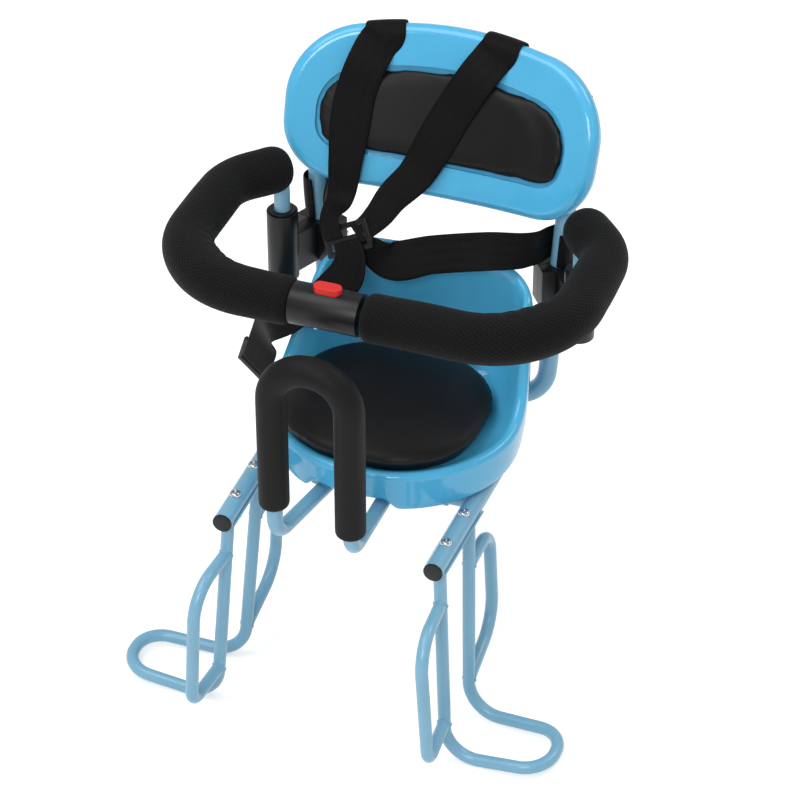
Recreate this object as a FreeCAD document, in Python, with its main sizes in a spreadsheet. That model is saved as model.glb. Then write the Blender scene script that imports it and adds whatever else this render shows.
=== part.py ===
"""Child bike seat: tubular frame, footrest legs, padded guard bar, moulded seat and backrest, harness.

Millimetres. +Z is up, the child faces -Y, and the origin is the middle of the rack plate's underside.
"""
import FreeCAD, Part
import Sketcher

import math
import os

from FreeCAD import Placement, Rotation, Vector

SIZES = {
    # rails, uprights and cross tubes
    "tube_dia": 19, "tube_wall": 1.5, "rail_gap": 212, "rail_splay": 6, "rail_reach": 163, "upright_y": 145,
    "rail_knee_y": 48, "rail_knee_radius": 40, "rail_rear_gap": 156, "rail_end_gap": 1.2,
    "hoop_heel_gap": 228, "hoop_drop": 12, "hoop_bend_radius": 40, "upright_gap": 256,
    "upright_bend_radius": 60, "upright_rise": 40,
    "cross_dia": 16, "cross_wall": 1.5, "cross_spacing": 100, "weld_gap": 0.2,
    "cap_flange": 2.5, "cap_plug": 12, "cap_clearance": 0.1,
    # rack plate
    "plate_thick": 3, "plate_width": 120, "plate_overhang": 14, "plate_corner": 10,
    "bolt_spacing_across": 80, "bolt_spacing_along": 60, "bolt_hole_dia": 8.5,
    # handle
    "handle_dia": 15, "handle_wall": 1.5, "handle_gap": 75, "handle_reach": 197, "handle_top": 235,
    "handle_heel": 40, "handle_bend_radius": 26, "handle_foot_gap": 54, "handle_foot_lift": 4,
    "grip_dia": 29, "grip_clearance": 0.3, "grip_left_end": 70, "grip_right_end": 58,
    # legs and foot guards
    "rod_dia": 12.5, "rod_wall": 1.5, "channel_thick": 2, "channel_clearance": 0.3,
    "channel_lip": 2, "channel_front": 156, "channel_back": 58, "front_leg_reach": 147, "rear_leg_reach": 68,
    "foot_heel_drop": 214, "foot_tip_drop": 204, "foot_front_reach": 163, "foot_rear_reach": 105,
    "rear_heel_reach": 94, "foot_heel_x": 120, "foot_tip_x": 222, "foot_bend_radius": 33,
    "foot_loop_radius": 28.5,
    "front_guard_reach": 219, "front_guard_top": 37, "front_guard_low": 175, "front_guard_out": 4,
    "front_guard_radius": 34, "front_guard_hook": 14,
    "rear_guard_reach": 15, "rear_guard_top": 47, "rear_guard_low": 158, "rear_guard_end": 178,
    "rear_guard_radius": 24, "rear_guard_sweep": 40,
    "leg_screw_front": 130, "leg_screw_rear": 82, "leg_screw_dia": 6, "leg_screw_head": 11,
    "leg_screw_head_thick": 3.5, "leg_nut_flats": 10, "leg_nut_thick": 5, "screw_clearance": 0.1,
    # seat shell and cushion
    "seat_width": 252, "seat_front": 116, "seat_waist": 25, "seat_back_width": 204, "seat_back_y": 118,
    "seat_front_flat": 24, "seat_side_run": 7, "seat_waist_radius": 120, "seat_back_radius": 45,
    "skirt_gap": 0.6, "seat_rim_z": 69, "seat_top_z": 180, "seat_draft": 5, "seat_lean": 4,
    "seat_band": 16, "seat_floor_z": 58, "seat_wall": 4.5, "wing_start": 12, "wing_end": 92,
    "wing_low_radius": 70, "wing_high_radius": 32, "shoulder_drop": 8, "shoulder_radius": 72,
    "shoulder_margin": 1, "crown_radius": 400, "seat_shift": 8,
    "notch_width": 90, "notch_top_z": 37, "notch_radius": 12,
    "boss_dia": 16, "boss_spacing": 156, "seat_screw_dia": 5, "seat_screw_head": 10,
    "seat_screw_head_thick": 3, "seat_screw_bite": 24,
    "cushion_width": 200, "cushion_front": 110, "cushion_back": 84, "cushion_radius": 84,
    "cushion_edge_z": 76, "cushion_top_z": 95, "cushion_seat_gap": 0.3,
    # backrest shell and pad
    "back_width": 322, "back_low": 82, "back_shoulder": 64, "back_crown": 90, "back_low_width": 312,
    "back_low_radius": 58, "back_shoulder_radius": 78, "back_crown_radius": 400,
    "back_y": 176, "back_z": 291, "back_lean": 21.6, "back_curve_radius": 390, "back_thick": 22,
    "back_edge_radius": 9, "back_screw_dia": 5, "back_screw_head": 10, "back_screw_head_thick": 3,
    "back_screw_bite": 12, "back_screw_low": 45, "back_screw_high": 20,
    "pad_margin": 32, "pad_top_margin": 38, "pad_recess": 5, "pad_proud": 6, "pad_clearance": 0.4,
    "pad_edge_radius": 4,
    # barrels and clamps
    "guard_shift": 8, "pin_gap": 306, "pin_y": 95, "barrel_dia": 31, "barrel_low_z": 123, "barrel_top_z": 198,
    "barrel_floor": 4, "bush_wall": 2.5, "bush_flange": 2, "bush_flange_dia": 27, "bush_length": 50,
    "pin_clearance": 0.08, "pin_end_gap": 0.3, "web_thick": 16, "clamp_low_z": 124, "clamp_height": 43,
    "clamp_width": 42,
    "clamp_depth": 14, "clamp_split": 0.6, "clamp_clearance": 0.2, "clamp_bolt_dia": 5,
    "clamp_bolt_head": 9, "clamp_bolt_head_thick": 4, "clamp_bolt_spacing": 30, "clamp_bolt_bite": 11,
    # guard arms and sleeves
    "arm_dia": 16, "arm_wall": 1.5, "arm_z": 247, "arm_pin_radius": 26, "arm_side_gap": 381,
    "arm_elbow_y": 55, "arm_front_reach": 115, "arm_elbow_radius": 55, "arm_corner_radius": 85,
    "sleeve_dia": 46, "sleeve_overrun": 10, "sleeve_end_radius": 12, "sleeve_clearance": 0.3,
    "sleeve_end_gap": 3,
    # buckle and catch
    "buckle_x": -14, "buckle_length": 66, "buckle_dia": 40, "buckle_wall": 2.5, "buckle_end_wall": 3,
    "socket_depth": 16, "socket_wall": 3, "socket_clearance": 0.1,
    "tongue_thick": 3, "tongue_width": 12, "tongue_depth": 14, "tongue_plug": 16, "tongue_gap": 1.5,
    "mouth_width": 36, "mouth_clearance": 0.4,
    "button_length": 27, "button_width": 13, "button_proud": 5, "button_clearance": 0.3,
    "button_flange": 2, "button_flange_thick": 2, "button_stem": 10,
    "latch_thick": 3, "latch_width": 16, "latch_reach": 26, "latch_gap": 0.3, "catch_length": 5,
    "catch_width": 6,
    "spring_dia": 9, "spring_wire": 1, "spring_pitch": 2.6,
    "buckle_screw_dia": 2.5, "buckle_screw_head": 4.5, "buckle_screw_head_thick": 2,
    "buckle_screw_sink": 12.5, "buckle_screw_bite": 6, "buckle_screw_spacing": 25, "buckle_screw_offset": 7,
    "buckle_boss_dia": 6.8,
    # harness webbing and adjusters
    "web_width": 40, "web_belt_width": 38, "web_end_width": 22, "web_layer": 2, "web_gap": 0.8,
    "web_touch": 0.3,
    "left_strap_x": -72, "right_strap_x": 46, "strap_tail": 45, "wrap_z": 188, "wrap_slack_left": 2,
    "wrap_slack_right": 1,
    "adjuster_x": -71, "adjuster_y": 80, "adjuster_z": 191, "adjuster_tilt": 27.5, "adjuster_face": 23.5,
    "adjuster_length": 52, "adjuster_width": 30, "adjuster_thick": 4, "adjuster_bar": 5, "adjuster_slot": 7,
    "tail_out": 39, "tail_y": 45, "tail_z": 43,
}

doc = FreeCAD.newDocument("child_bike_seat")
sheet = doc.addObject("Spreadsheet::Sheet", "dims")
for row, (alias, number) in enumerate(SIZES.items(), start=1):
    sheet.set(f"A{row}", alias)
    sheet.set(f"B{row}", str(number))
    sheet.setAlias(f"B{row}", alias)
doc.recompute()


def val(alias):
    """A driving dimension, read back from the sheet."""
    return float(sheet.get(alias))


nodes = {}


def node(name, obj):
    """Names a finished piece, which is written to its own file."""
    obj.Label = name
    nodes[name] = obj
    return obj


def feature(name, shape):
    """A piece whose bent or freeform shape no primitive gives."""
    obj = doc.addObject("Part::Feature", name)
    obj.Shape = shape
    return obj


def bound(kind, name, placement=None, **sizes):
    """A primitive with its sizes tied to the sheet."""
    obj = doc.addObject(kind, name)
    if placement is not None:
        obj.Placement = placement
    for prop, text in sizes.items():
        obj.setExpression(prop, text)
    return obj


def cut(name, base, tool):
    obj = doc.addObject("Part::Cut", name)
    obj.Base = base
    obj.Tool = tool
    return obj


def fuse(name, shapes):
    obj = doc.addObject("Part::MultiFuse", name)
    obj.Shapes = shapes
    return obj


def group(name, objects):
    """Like fasteners, kept as separate solids in one piece."""
    obj = doc.addObject("Part::Compound", name)
    obj.Links = objects
    return obj


def facing(base, direction):
    """A placement at a point whose Z runs along a direction."""
    return Placement(base, Rotation(Vector(0, 0, 1), direction))


def rounded_path(corners, closed=False):
    """A wire of straight runs joined by tangent arcs. Each corner is a point and its bend radius."""
    edges = []
    ends = []
    count = len(corners)
    for index, (point, radius) in enumerate(corners):
        if radius == 0 or (not closed and index in (0, count - 1)):
            ends.append((point, point, None))
            continue
        before = (corners[index - 1][0] - point).normalize()
        after = (corners[(index + 1) % count][0] - point).normalize()
        half_turn = (math.pi - before.getAngle(after)) / 2
        inward = (before + after).normalize()
        reach = radius * math.tan(half_turn)
        middle = point + inward * (radius / math.cos(half_turn) - radius)
        ends.append((point + before * reach, point + after * reach, middle))
    for index, (start, stop, middle) in enumerate(ends):
        if middle is not None:
            edges.append(Part.Arc(start, middle, stop).toShape())
        follows = ends[(index + 1) % count]
        if (closed or index < count - 1) and stop.distanceToPoint(follows[0]) > 1e-6:
            edges.append(Part.LineSegment(stop, follows[0]).toShape())
    return Part.Wire(Part.__sortEdges__(edges))


def rod(corners, radius):
    """A round bar along a bent path."""
    path = rounded_path(corners)
    first = corners[0][0]
    profile = Part.Wire(Part.makeCircle(radius, first, corners[1][0] - first))
    return path.makePipeShell([profile], True, False)


def tube(corners, radius, wall):
    """A round tube along a bent path."""
    return rod(corners, radius).cut(rod(corners, radius - wall))


def flat_outline(corners, z=0.0):
    """A closed rounded outline in the XY plane, from x, y and corner radius."""
    return rounded_path([(Vector(x, y, z), radius) for x, y, radius in corners], closed=True)


def prism(wire, direction):
    return Part.Face(wire).extrude(direction)


def drill(base, direction, radius, length):
    """A cutter for a round hole."""
    return Part.makeCylinder(radius, length, base, direction)


# Rails and uprights
SIDES = {"left": -1, "right": 1}
tube_radius = val("tube_dia") / 2
rail_z = val("plate_thick") + val("cross_dia") / 2
lean = math.radians(val("back_lean"))
back_up = Vector(0, math.sin(lean), math.cos(lean))
back_front = Vector(0, -math.cos(lean), math.sin(lean))
back_centre = Vector(0, val("back_y"), val("back_z"))
back_radius = val("back_curve_radius")
back_rear_radius = back_radius + val("back_thick") / 2
back_front_radius = back_radius - val("back_thick") / 2


def on_back(across, up, radius):
    """A point on a cylinder of the backrest's own curve, at a height along the lean."""
    depth = back_radius - math.sqrt(radius ** 2 - across ** 2)
    return back_centre + Vector(across, 0, 0) + back_up * up + back_front * depth


def rail_x(y):
    """Distance of a rail's axis from the middle, which grows a little towards the rear."""
    share = (y + val("rail_reach")) / (val("upright_y") + val("rail_reach"))
    return val("rail_gap") / 2 + val("rail_splay") * share


def rail_corners(side):
    """A rail's front end, its knee under the seat, and its rear end just short of the hoop."""
    rear_y = val("upright_y") - tube_radius - val("rail_end_gap")
    front = Vector(side * rail_x(-val("rail_reach")), -val("rail_reach"), rail_z)
    knee = Vector(side * rail_x(val("rail_knee_y")), val("rail_knee_y"), rail_z)
    rear = Vector(side * val("rail_rear_gap") / 2, rear_y, rail_z)
    return [(front, 0), (knee, val("rail_knee_radius")), (rear, 0)]


def upright_corners(side):
    """One side of the hoop: its heel under the seat, its shoulder and its top end."""
    upright_x = val("upright_gap") / 2
    tube_track = back_rear_radius + tube_radius + val("weld_gap")
    heel = Vector(side * val("hoop_heel_gap") / 2, val("upright_y"), rail_z - val("hoop_drop"))
    shoulder = on_back(side * upright_x, -val("back_low"), tube_track)
    top = on_back(side * upright_x, val("upright_rise"), tube_track)
    return [(heel, val("hoop_bend_radius")), (shoulder, val("upright_bend_radius")), (top, 0)]


def upright_at(side, z):
    """A point on an upright's lower run, at a height."""
    heel = upright_corners(side)[0][0]
    shoulder = upright_corners(side)[1][0]
    return heel + (shoulder - heel) * ((z - heel.z) / (shoulder.z - heel.z))


def rail_direction(side):
    front, knee, _ = rail_corners(side)
    return (front[0] - knee[0]).normalize()


def leg_screw_places(side):
    for alias in ("leg_screw_front", "leg_screw_rear"):
        y = -val(alias)
        yield Vector(side * rail_x(y), y, rail_z)


def back_screw_axes(side):
    """Where each backrest screw enters the upright from behind, and its direction."""
    across = side * val("upright_gap") / 2
    start_radius = back_rear_radius + val("weld_gap") + val("tube_dia")
    for up in (-val("back_screw_low"), val("back_screw_high")):
        start = on_back(across, up, start_radius)
        inner = on_back(0, up, back_radius) + back_front * back_radius
        yield start, (inner - start).normalize()


back_hole = val("back_screw_dia") / 2 + val("screw_clearance")
leg_hole = val("leg_screw_dia") / 2 + val("screw_clearance")
hoop_path = upright_corners(-1)[::-1] + upright_corners(1)
hoop_shape = tube(hoop_path, tube_radius, val("tube_wall"))
for name, side in SIDES.items():
    rail_shape = tube(rail_corners(side), tube_radius, val("tube_wall"))
    for place in leg_screw_places(side):
        rail_shape = rail_shape.cut(drill(place - Vector(0, 0, val("tube_dia")), Vector(0, 0, 1), leg_hole,
                                          2 * val("tube_dia")))
    for start, direction in back_screw_axes(side):
        hoop_shape = hoop_shape.cut(drill(start - direction * tube_radius, direction, back_hole,
                                          2 * val("tube_dia")))
    node(f"{name}_rail", feature(f"{name}_rail", rail_shape))
node("upright_hoop", feature("upright_hoop", hoop_shape))


# End caps of the rails and uprights
def end_cap(name, base, outward):
    """A flanged plug pushed into a tube's open end."""
    flange = bound("Part::Cylinder", f"{name}_flange", facing(base, outward),
                   Radius="dims.tube_dia / 2", Height="dims.cap_flange")
    plug = bound("Part::Cylinder", f"{name}_plug", facing(base, outward * -1),
                 Radius="dims.tube_dia / 2 - dims.tube_wall - dims.cap_clearance", Height="dims.cap_plug")
    node(name, fuse(name, [flange, plug]))


for name, side in SIDES.items():
    end_cap(f"{name}_rail_cap", rail_corners(side)[0][0], rail_direction(side))
    end_cap(f"{name}_upright_cap", upright_corners(side)[2][0], back_up)


# Cross tubes, butted between the rails
cross_radius = val("cross_dia") / 2
seat_hole = val("seat_screw_dia") / 2 + val("screw_clearance")


def cross_tube(name, y):
    half = rail_x(y)
    start = Vector(-half, y, rail_z)
    shape = tube([(start, 0), (Vector(half, y, rail_z), 0)], cross_radius, val("cross_wall"))
    for side in SIDES.values():
        shape = shape.cut(rod(rail_corners(side), tube_radius + val("weld_gap")))
        hole_base = Vector(side * val("boss_spacing") / 2, y, rail_z - val("cross_dia"))
        shape = shape.cut(drill(hole_base, Vector(0, 0, 1), seat_hole, 2 * val("cross_dia")))
    node(name, feature(name, shape))


front_cross_y = -val("cross_spacing") / 2
rear_cross_y = val("cross_spacing") / 2
cross_tube("front_cross_tube", front_cross_y)
cross_tube("rear_cross_tube", rear_cross_y)

# Rack plate under the cross tubes
plate_body = doc.addObject("PartDesign::Body", "plate_body")
plate_plane = [item for item in plate_body.Origin.OriginFeatures if item.Role == "XY_Plane"][0]


def plate_sketch(name):
    sketch = plate_body.newObject("Sketcher::SketchObject", name)
    sketch.AttachmentSupport = [(plate_plane, "")]
    sketch.MapMode = "FlatFace"
    return sketch


def centred_rectangle(sketch, width_text, length_text):
    """Four lines about the origin, with their half sizes tied to the sheet."""
    signs = [(-1, -1), (1, -1), (1, 1), (-1, 1)]
    points = [Vector(50 * sx, 50 * sy, 0) for sx, sy in signs]
    for index in range(4):
        sketch.addGeometry(Part.LineSegment(points[index], points[(index + 1) % 4]))
    for index in range(4):
        sketch.addConstraint(Sketcher.Constraint("Coincident", index, 2, (index + 1) % 4, 1))
    for index, kind in enumerate(("Horizontal", "Vertical", "Horizontal", "Vertical")):
        sketch.addConstraint(Sketcher.Constraint(kind, index))
    sketch.addConstraint(Sketcher.Constraint("Symmetric", 0, 1, 1, 2, -1, 1))
    width = sketch.addConstraint(Sketcher.Constraint("DistanceX", 0, 1, 0, 2, 100))
    length = sketch.addConstraint(Sketcher.Constraint("DistanceY", 1, 1, 1, 2, 100))
    sketch.setExpression(f"Constraints[{width}]", width_text)
    sketch.setExpression(f"Constraints[{length}]", length_text)


plate_outline = plate_sketch("plate_outline")
centred_rectangle(plate_outline, "dims.plate_width", "dims.cross_spacing + 2 * dims.plate_overhang")
plate_pad = plate_body.newObject("PartDesign::Pad", "plate_pad")
plate_pad.Profile = plate_outline
plate_pad.setExpression("Length", "dims.plate_thick")
plate_holes = plate_sketch("plate_holes")
for sign_x, sign_y in ((-1, -1), (1, -1), (1, 1), (-1, 1)):
    circle = plate_holes.addGeometry(Part.Circle(Vector(30 * sign_x, 30 * sign_y, 0), Vector(0, 0, 1), 4))
    radius = plate_holes.addConstraint(Sketcher.Constraint("Radius", circle, 4))
    across = plate_holes.addConstraint(Sketcher.Constraint("DistanceX", -1, 1, circle, 3, 30 * sign_x))
    along = plate_holes.addConstraint(Sketcher.Constraint("DistanceY", -1, 1, circle, 3, 30 * sign_y))
    plate_holes.setExpression(f"Constraints[{radius}]", "dims.bolt_hole_dia / 2")
    plate_holes.setExpression(f"Constraints[{across}]", f"{sign_x} * dims.bolt_spacing_across / 2")
    plate_holes.setExpression(f"Constraints[{along}]", f"{sign_y} * dims.bolt_spacing_along / 2")
plate_pocket = plate_body.newObject("PartDesign::Pocket", "plate_pocket")
plate_pocket.Profile = plate_holes
plate_pocket.Reversed = True
plate_pocket.setExpression("Length", "2 * dims.plate_thick")
doc.recompute()


def is_corner_edge(edge):
    """True for an upright edge at a corner of the plate."""
    line = edge.Vertexes[-1].Point - edge.Vertexes[0].Point
    return len(edge.Vertexes) == 2 and abs(line.z) > 0 and isinstance(edge.Curve, Part.Line)


plate_side = val("plate_width") / 2 - val("plate_thick")
corner_names = [f"Edge{index}" for index, edge in enumerate(plate_pocket.Shape.Edges, start=1)
                if is_corner_edge(edge) and abs(edge.Vertexes[0].X) > plate_side]
plate_fillet = plate_body.newObject("PartDesign::Fillet", "plate_fillet")
plate_fillet.Base = (plate_pocket, corner_names)
plate_fillet.setExpression("Radius", "dims.plate_corner")
node("rack_plate", plate_body)

# Handle: one bent tube whose feet butt on the front cross tube, and its foam grip
handle_radius = val("handle_dia") / 2
handle_half = val("handle_gap") / 2


def handle_point(side, z):
    return Vector(side * handle_half, -val("handle_reach"), z)


def handle_foot(side):
    return Vector(side * val("handle_foot_gap") / 2, front_cross_y, rail_z + val("handle_foot_lift"))


arch = [(handle_point(-1, val("handle_top")), handle_half), (handle_point(1, val("handle_top")), handle_half)]
left_heel = (handle_point(-1, val("handle_heel")), val("handle_bend_radius"))
right_heel = (handle_point(1, val("handle_heel")), val("handle_bend_radius"))
handle_path = [(handle_foot(-1), 0), left_heel] + arch + [right_heel, (handle_foot(1), 0)]
cross_cutter = rod([(Vector(-val("handle_gap"), front_cross_y, rail_z), 0),
                    (Vector(val("handle_gap"), front_cross_y, rail_z), 0)], cross_radius + val("weld_gap"))
handle_shape = tube(handle_path, handle_radius, val("handle_wall")).cut(cross_cutter)
node("handle_tube", feature("handle_tube", handle_shape))

grip_left = (handle_point(-1, val("grip_left_end")), 0)
grip_right = (handle_point(1, val("grip_right_end")), 0)
grip_path = [grip_left] + arch + [grip_right]
grip_bore = handle_radius + val("grip_clearance")
grip_shape = rod(grip_path, val("grip_dia") / 2).cut(rod(grip_path, grip_bore))
node("handle_grip", feature("handle_grip", grip_shape))

# Legs: a half-round channel under each rail carries one bent rod with two welded guards
rod_radius = val("rod_dia") / 2
channel_outer = tube_radius + val("channel_clearance") + val("channel_thick")


def rail_point(side, y):
    return Vector(side * rail_x(y), y, rail_z)


def leg_corners(side):
    heel_x = side * val("foot_heel_x")
    tip_x = side * val("foot_tip_x")
    heel_z = -val("foot_heel_drop")
    tip_z = -val("foot_tip_drop")
    bend = val("foot_bend_radius")
    loop = val("foot_loop_radius")
    return [(rail_point(side, -val("front_leg_reach")), 0),
            (Vector(heel_x, -val("foot_front_reach"), heel_z), bend),
            (Vector(tip_x, -val("foot_front_reach"), tip_z), loop),
            (Vector(tip_x, -val("foot_rear_reach"), tip_z), loop),
            (Vector(heel_x, -val("rear_heel_reach"), heel_z), bend),
            (rail_point(side, -val("rear_leg_reach")), 0)]


def leg_at(top, heel, z):
    """A point on a leg's straight run, at a height."""
    return top + (heel - top) * ((z - top.z) / (heel.z - top.z))


def front_guard_corners(side, leg):
    top, heel = leg[0][0], leg[1][0]
    upper = leg_at(top, heel, -val("front_guard_top"))
    lower = leg_at(top, heel, -val("front_guard_low"))
    out = Vector(side * val("front_guard_out"), 0, 0)
    upper_corner = Vector(upper.x, -val("front_guard_reach"), upper.z) + out
    lower_corner = Vector(lower.x, -val("front_guard_reach"), lower.z) + out
    return [(upper, 0), (upper_corner, val("front_guard_radius")), (lower_corner, val("front_guard_hook")),
            (lower, 0)]


def rear_guard_corners(leg):
    top, heel = leg[5][0], leg[4][0]
    upper = leg_at(top, heel, -val("rear_guard_top"))
    lower = leg_at(top, heel, -val("rear_guard_end"))
    turn = leg_at(top, heel, -val("rear_guard_low"))
    upper_corner = Vector(upper.x, -val("rear_guard_reach"), upper.z)
    lower_corner = Vector(turn.x, -val("rear_guard_reach"), turn.z)
    return [(upper, 0), (upper_corner, val("rear_guard_radius")), (lower_corner, val("rear_guard_sweep")),
            (lower, 0)]


def saddle_channel(name, side):
    base = rail_point(side, -val("channel_back"))
    along = rail_direction(side)
    length = "dims.channel_front - dims.channel_back"
    outer = bound("Part::Cylinder", f"{name}_outer", facing(base, along), Height=length,
                  Radius="dims.tube_dia / 2 + dims.channel_clearance + dims.channel_thick")
    inner = bound("Part::Cylinder", f"{name}_inner", facing(base, along), Height=length,
                  Radius="dims.tube_dia / 2 + dims.channel_clearance")
    upper = bound("Part::Box", f"{name}_upper", None, Length="4 * dims.tube_dia", Height="2 * dims.tube_dia",
                  Width="dims.rail_reach")
    corner = Vector(base.x - 2 * val("tube_dia"), -val("rail_reach"), rail_z - val("channel_lip"))
    upper.Placement = Placement(corner, Rotation())
    trough = cut(f"{name}_trough", cut(f"{name}_ring", outer, inner), upper)
    for index, place in enumerate(leg_screw_places(side)):
        hole = bound("Part::Cylinder", f"{name}_hole_{index}", facing(place, Vector(0, 0, -1)),
                     Radius="dims.leg_screw_dia / 2 + dims.screw_clearance", Height="2 * dims.tube_dia")
        trough = cut(f"{name}_drilled_{index}", trough, hole)
    node(name, trough)


for name, side in SIDES.items():
    leg = leg_corners(side)
    rail_cutter = rod([(rail_point(side, -val("rail_reach")), 0), (rail_point(side, 0), 0)],
                      channel_outer + val("weld_gap"))
    leg_cutter = rod(leg, rod_radius + val("weld_gap"))
    saddle_channel(f"{name}_saddle_channel", side)
    leg_shape = tube(leg, rod_radius, val("rod_wall")).cut(rail_cutter)
    front_shape = tube(front_guard_corners(side, leg), rod_radius, val("rod_wall")).cut(leg_cutter)
    rear_shape = tube(rear_guard_corners(leg), rod_radius, val("rod_wall")).cut(leg_cutter)
    node(f"{name}_leg_loop", feature(f"{name}_leg_loop", leg_shape))
    node(f"{name}_front_guard", feature(f"{name}_front_guard", front_shape))
    node(f"{name}_rear_guard", feature(f"{name}_rear_guard", rear_shape))


# Fasteners
def screw(name, seat, inward, dia, head_dia, head_thick, length):
    """A screw whose head's underside is at a seat point. Sizes are expressions."""
    head = bound("Part::Cylinder", f"{name}_head", facing(seat, inward * -1), Radius=f"({head_dia}) / 2",
                 Height=head_thick)
    shank = bound("Part::Cylinder", f"{name}_shank", facing(seat, inward), Radius=f"({dia}) / 2",
                  Height=length)
    return fuse(name, [head, shank])


def nut(name, base, flats, thick, dia):
    """A hexagon nut standing on a base point."""
    hexagon = bound("Part::Prism", f"{name}_hexagon", facing(base, Vector(0, 0, 1)),
                    Circumradius=f"({flats}) / 2 / cos(30)", Height=thick)
    hole = bound("Part::Cylinder", f"{name}_hole", facing(base, Vector(0, 0, 1)),
                 Radius=f"({dia}) / 2 + dims.screw_clearance", Height=thick)
    return cut(name, hexagon, hole)


down = Vector(0, 0, -1)
leg_screws = []
leg_nuts = []
for name, side in SIDES.items():
    for index, place in enumerate(leg_screw_places(side)):
        seat = place + Vector(0, 0, tube_radius)
        nut_base = place - Vector(0, 0, channel_outer + val("leg_nut_thick"))
        reach = "dims.tube_dia + dims.channel_clearance + dims.channel_thick + dims.leg_nut_thick"
        leg_screws.append(screw(f"{name}_leg_screw_{index}", seat, down, "dims.leg_screw_dia",
                                "dims.leg_screw_head", "dims.leg_screw_head_thick", reach))
        leg_nuts.append(nut(f"{name}_leg_nut_{index}", nut_base, "dims.leg_nut_flats", "dims.leg_nut_thick",
                            "dims.leg_screw_dia"))
node("leg_screws", group("leg_screws", leg_screws))
node("leg_nuts", group("leg_nuts", leg_nuts))


# Seat shell: a moulded bucket with a raised back, a skirt, and bosses down to the cross tubes
def seat_front_radius():
    """The front corners' radius, as large as the seat's width and the run of its sides leave room for."""
    narrowing = (val("seat_width") - val("seat_back_width")) / 2
    turn = math.atan2(narrowing, val("seat_back_y") - val("seat_waist"))
    waist_reach = val("seat_waist_radius") * math.tan(abs(turn) / 2)
    run = val("seat_front") + val("seat_waist") - waist_reach - val("seat_side_run")
    return min(run, (val("seat_width") - val("seat_front_flat")) / 2)


def seat_outline(inset, z, shift=0.0):
    """The seat's plan outline, drawn in by an inset and moved back by a shift."""
    half = val("seat_width") / 2 - inset
    back_half = val("seat_back_width") / 2 - inset
    front = inset - val("seat_front")
    back = val("seat_back_y") - inset + shift
    waist = val("seat_waist") + shift
    front_radius = seat_front_radius() - inset
    waist_radius = val("seat_waist_radius") - inset
    back_corner = val("seat_back_radius") - inset
    return flat_outline([(-half, front, front_radius), (half, front, front_radius),
                         (half, waist, waist_radius), (back_half, back, back_corner),
                         (-back_half, back, back_corner), (-half, waist, waist_radius)], z)


skirt_z = rail_z + tube_radius + val("leg_screw_head_thick") + val("skirt_gap")
rim_z = val("seat_rim_z")
floor_z = val("seat_floor_z")
seat_top_z = val("seat_top_z")
above = val("seat_band")
band = val("seat_band")
seat_wall = val("seat_wall")
ceiling_z = floor_z - seat_wall


def skirt_inset(z):
    """How far the drafted skirt is drawn in at a height."""
    return val("seat_draft") * (rim_z - z) / (rim_z - skirt_z)


seat_outer = Part.makeLoft([seat_outline(val("seat_draft"), skirt_z), seat_outline(0, rim_z),
                            seat_outline(0, seat_top_z + above, val("seat_lean"))], True, True)
seat_inner = Part.makeLoft([seat_outline(band, floor_z), seat_outline(band, rim_z),
                            seat_outline(band, seat_top_z + 2 * above, val("seat_lean"))], True, True)
seat_hollow = Part.makeLoft([seat_outline(val("seat_draft") + seat_wall, skirt_z),
                             seat_outline(skirt_inset(ceiling_z) + seat_wall, ceiling_z)], True, True)
far_y = val("seat_front") + val("seat_width")
high_z = seat_top_z + val("seat_width")
wing_x = -val("seat_width")
wing_profile = rounded_path([(Vector(wing_x, -far_y, rim_z), 0),
                             (Vector(wing_x, val("wing_start"), rim_z), val("wing_low_radius")),
                             (Vector(wing_x, val("wing_end"), seat_top_z), val("wing_high_radius")),
                             (Vector(wing_x, far_y, seat_top_z), 0),
                             (Vector(wing_x, far_y, high_z), 0),
                             (Vector(wing_x, -far_y, high_z), 0)], closed=True)
wing_cutter = prism(wing_profile, Vector(-2 * wing_x, 0, 0))
shoulder_x = val("seat_width") / 2 + val("shoulder_margin")
shoulder_z = seat_top_z - val("shoulder_drop")
arch_profile = rounded_path([(Vector(-shoulder_x, -far_y, 0), 0), (Vector(shoulder_x, -far_y, 0), 0),
                             (Vector(shoulder_x, -far_y, shoulder_z), val("shoulder_radius")),
                             (Vector(0, -far_y, seat_top_z), val("crown_radius")),
                             (Vector(-shoulder_x, -far_y, shoulder_z), val("shoulder_radius"))], closed=True)
seat_arch = prism(arch_profile, Vector(0, 2 * far_y, 0))
notch_half = val("notch_width") / 2
notch_y = -val("seat_front") - band
notch_low = skirt_z - band
notch_top = val("notch_top_z")
notch_profile = rounded_path([(Vector(-notch_half, notch_y, notch_low), 0),
                              (Vector(notch_half, notch_y, notch_low), 0),
                              (Vector(notch_half, notch_y, notch_top), val("notch_radius")),
                              (Vector(-notch_half, notch_y, notch_top), val("notch_radius"))], closed=True)
notch_cutter = prism(notch_profile, Vector(0, 4 * band, 0))
seat_shape = seat_outer.cut(seat_inner).cut(wing_cutter).common(seat_arch).cut(seat_hollow)
seat_middle = Vector(val("seat_shift"), 0, 0)
seat_shape.translate(seat_middle)
seat_shape = seat_shape.cut(notch_cutter)
boss_low = rail_z + cross_radius + val("weld_gap")
seat_screws = []
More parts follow.
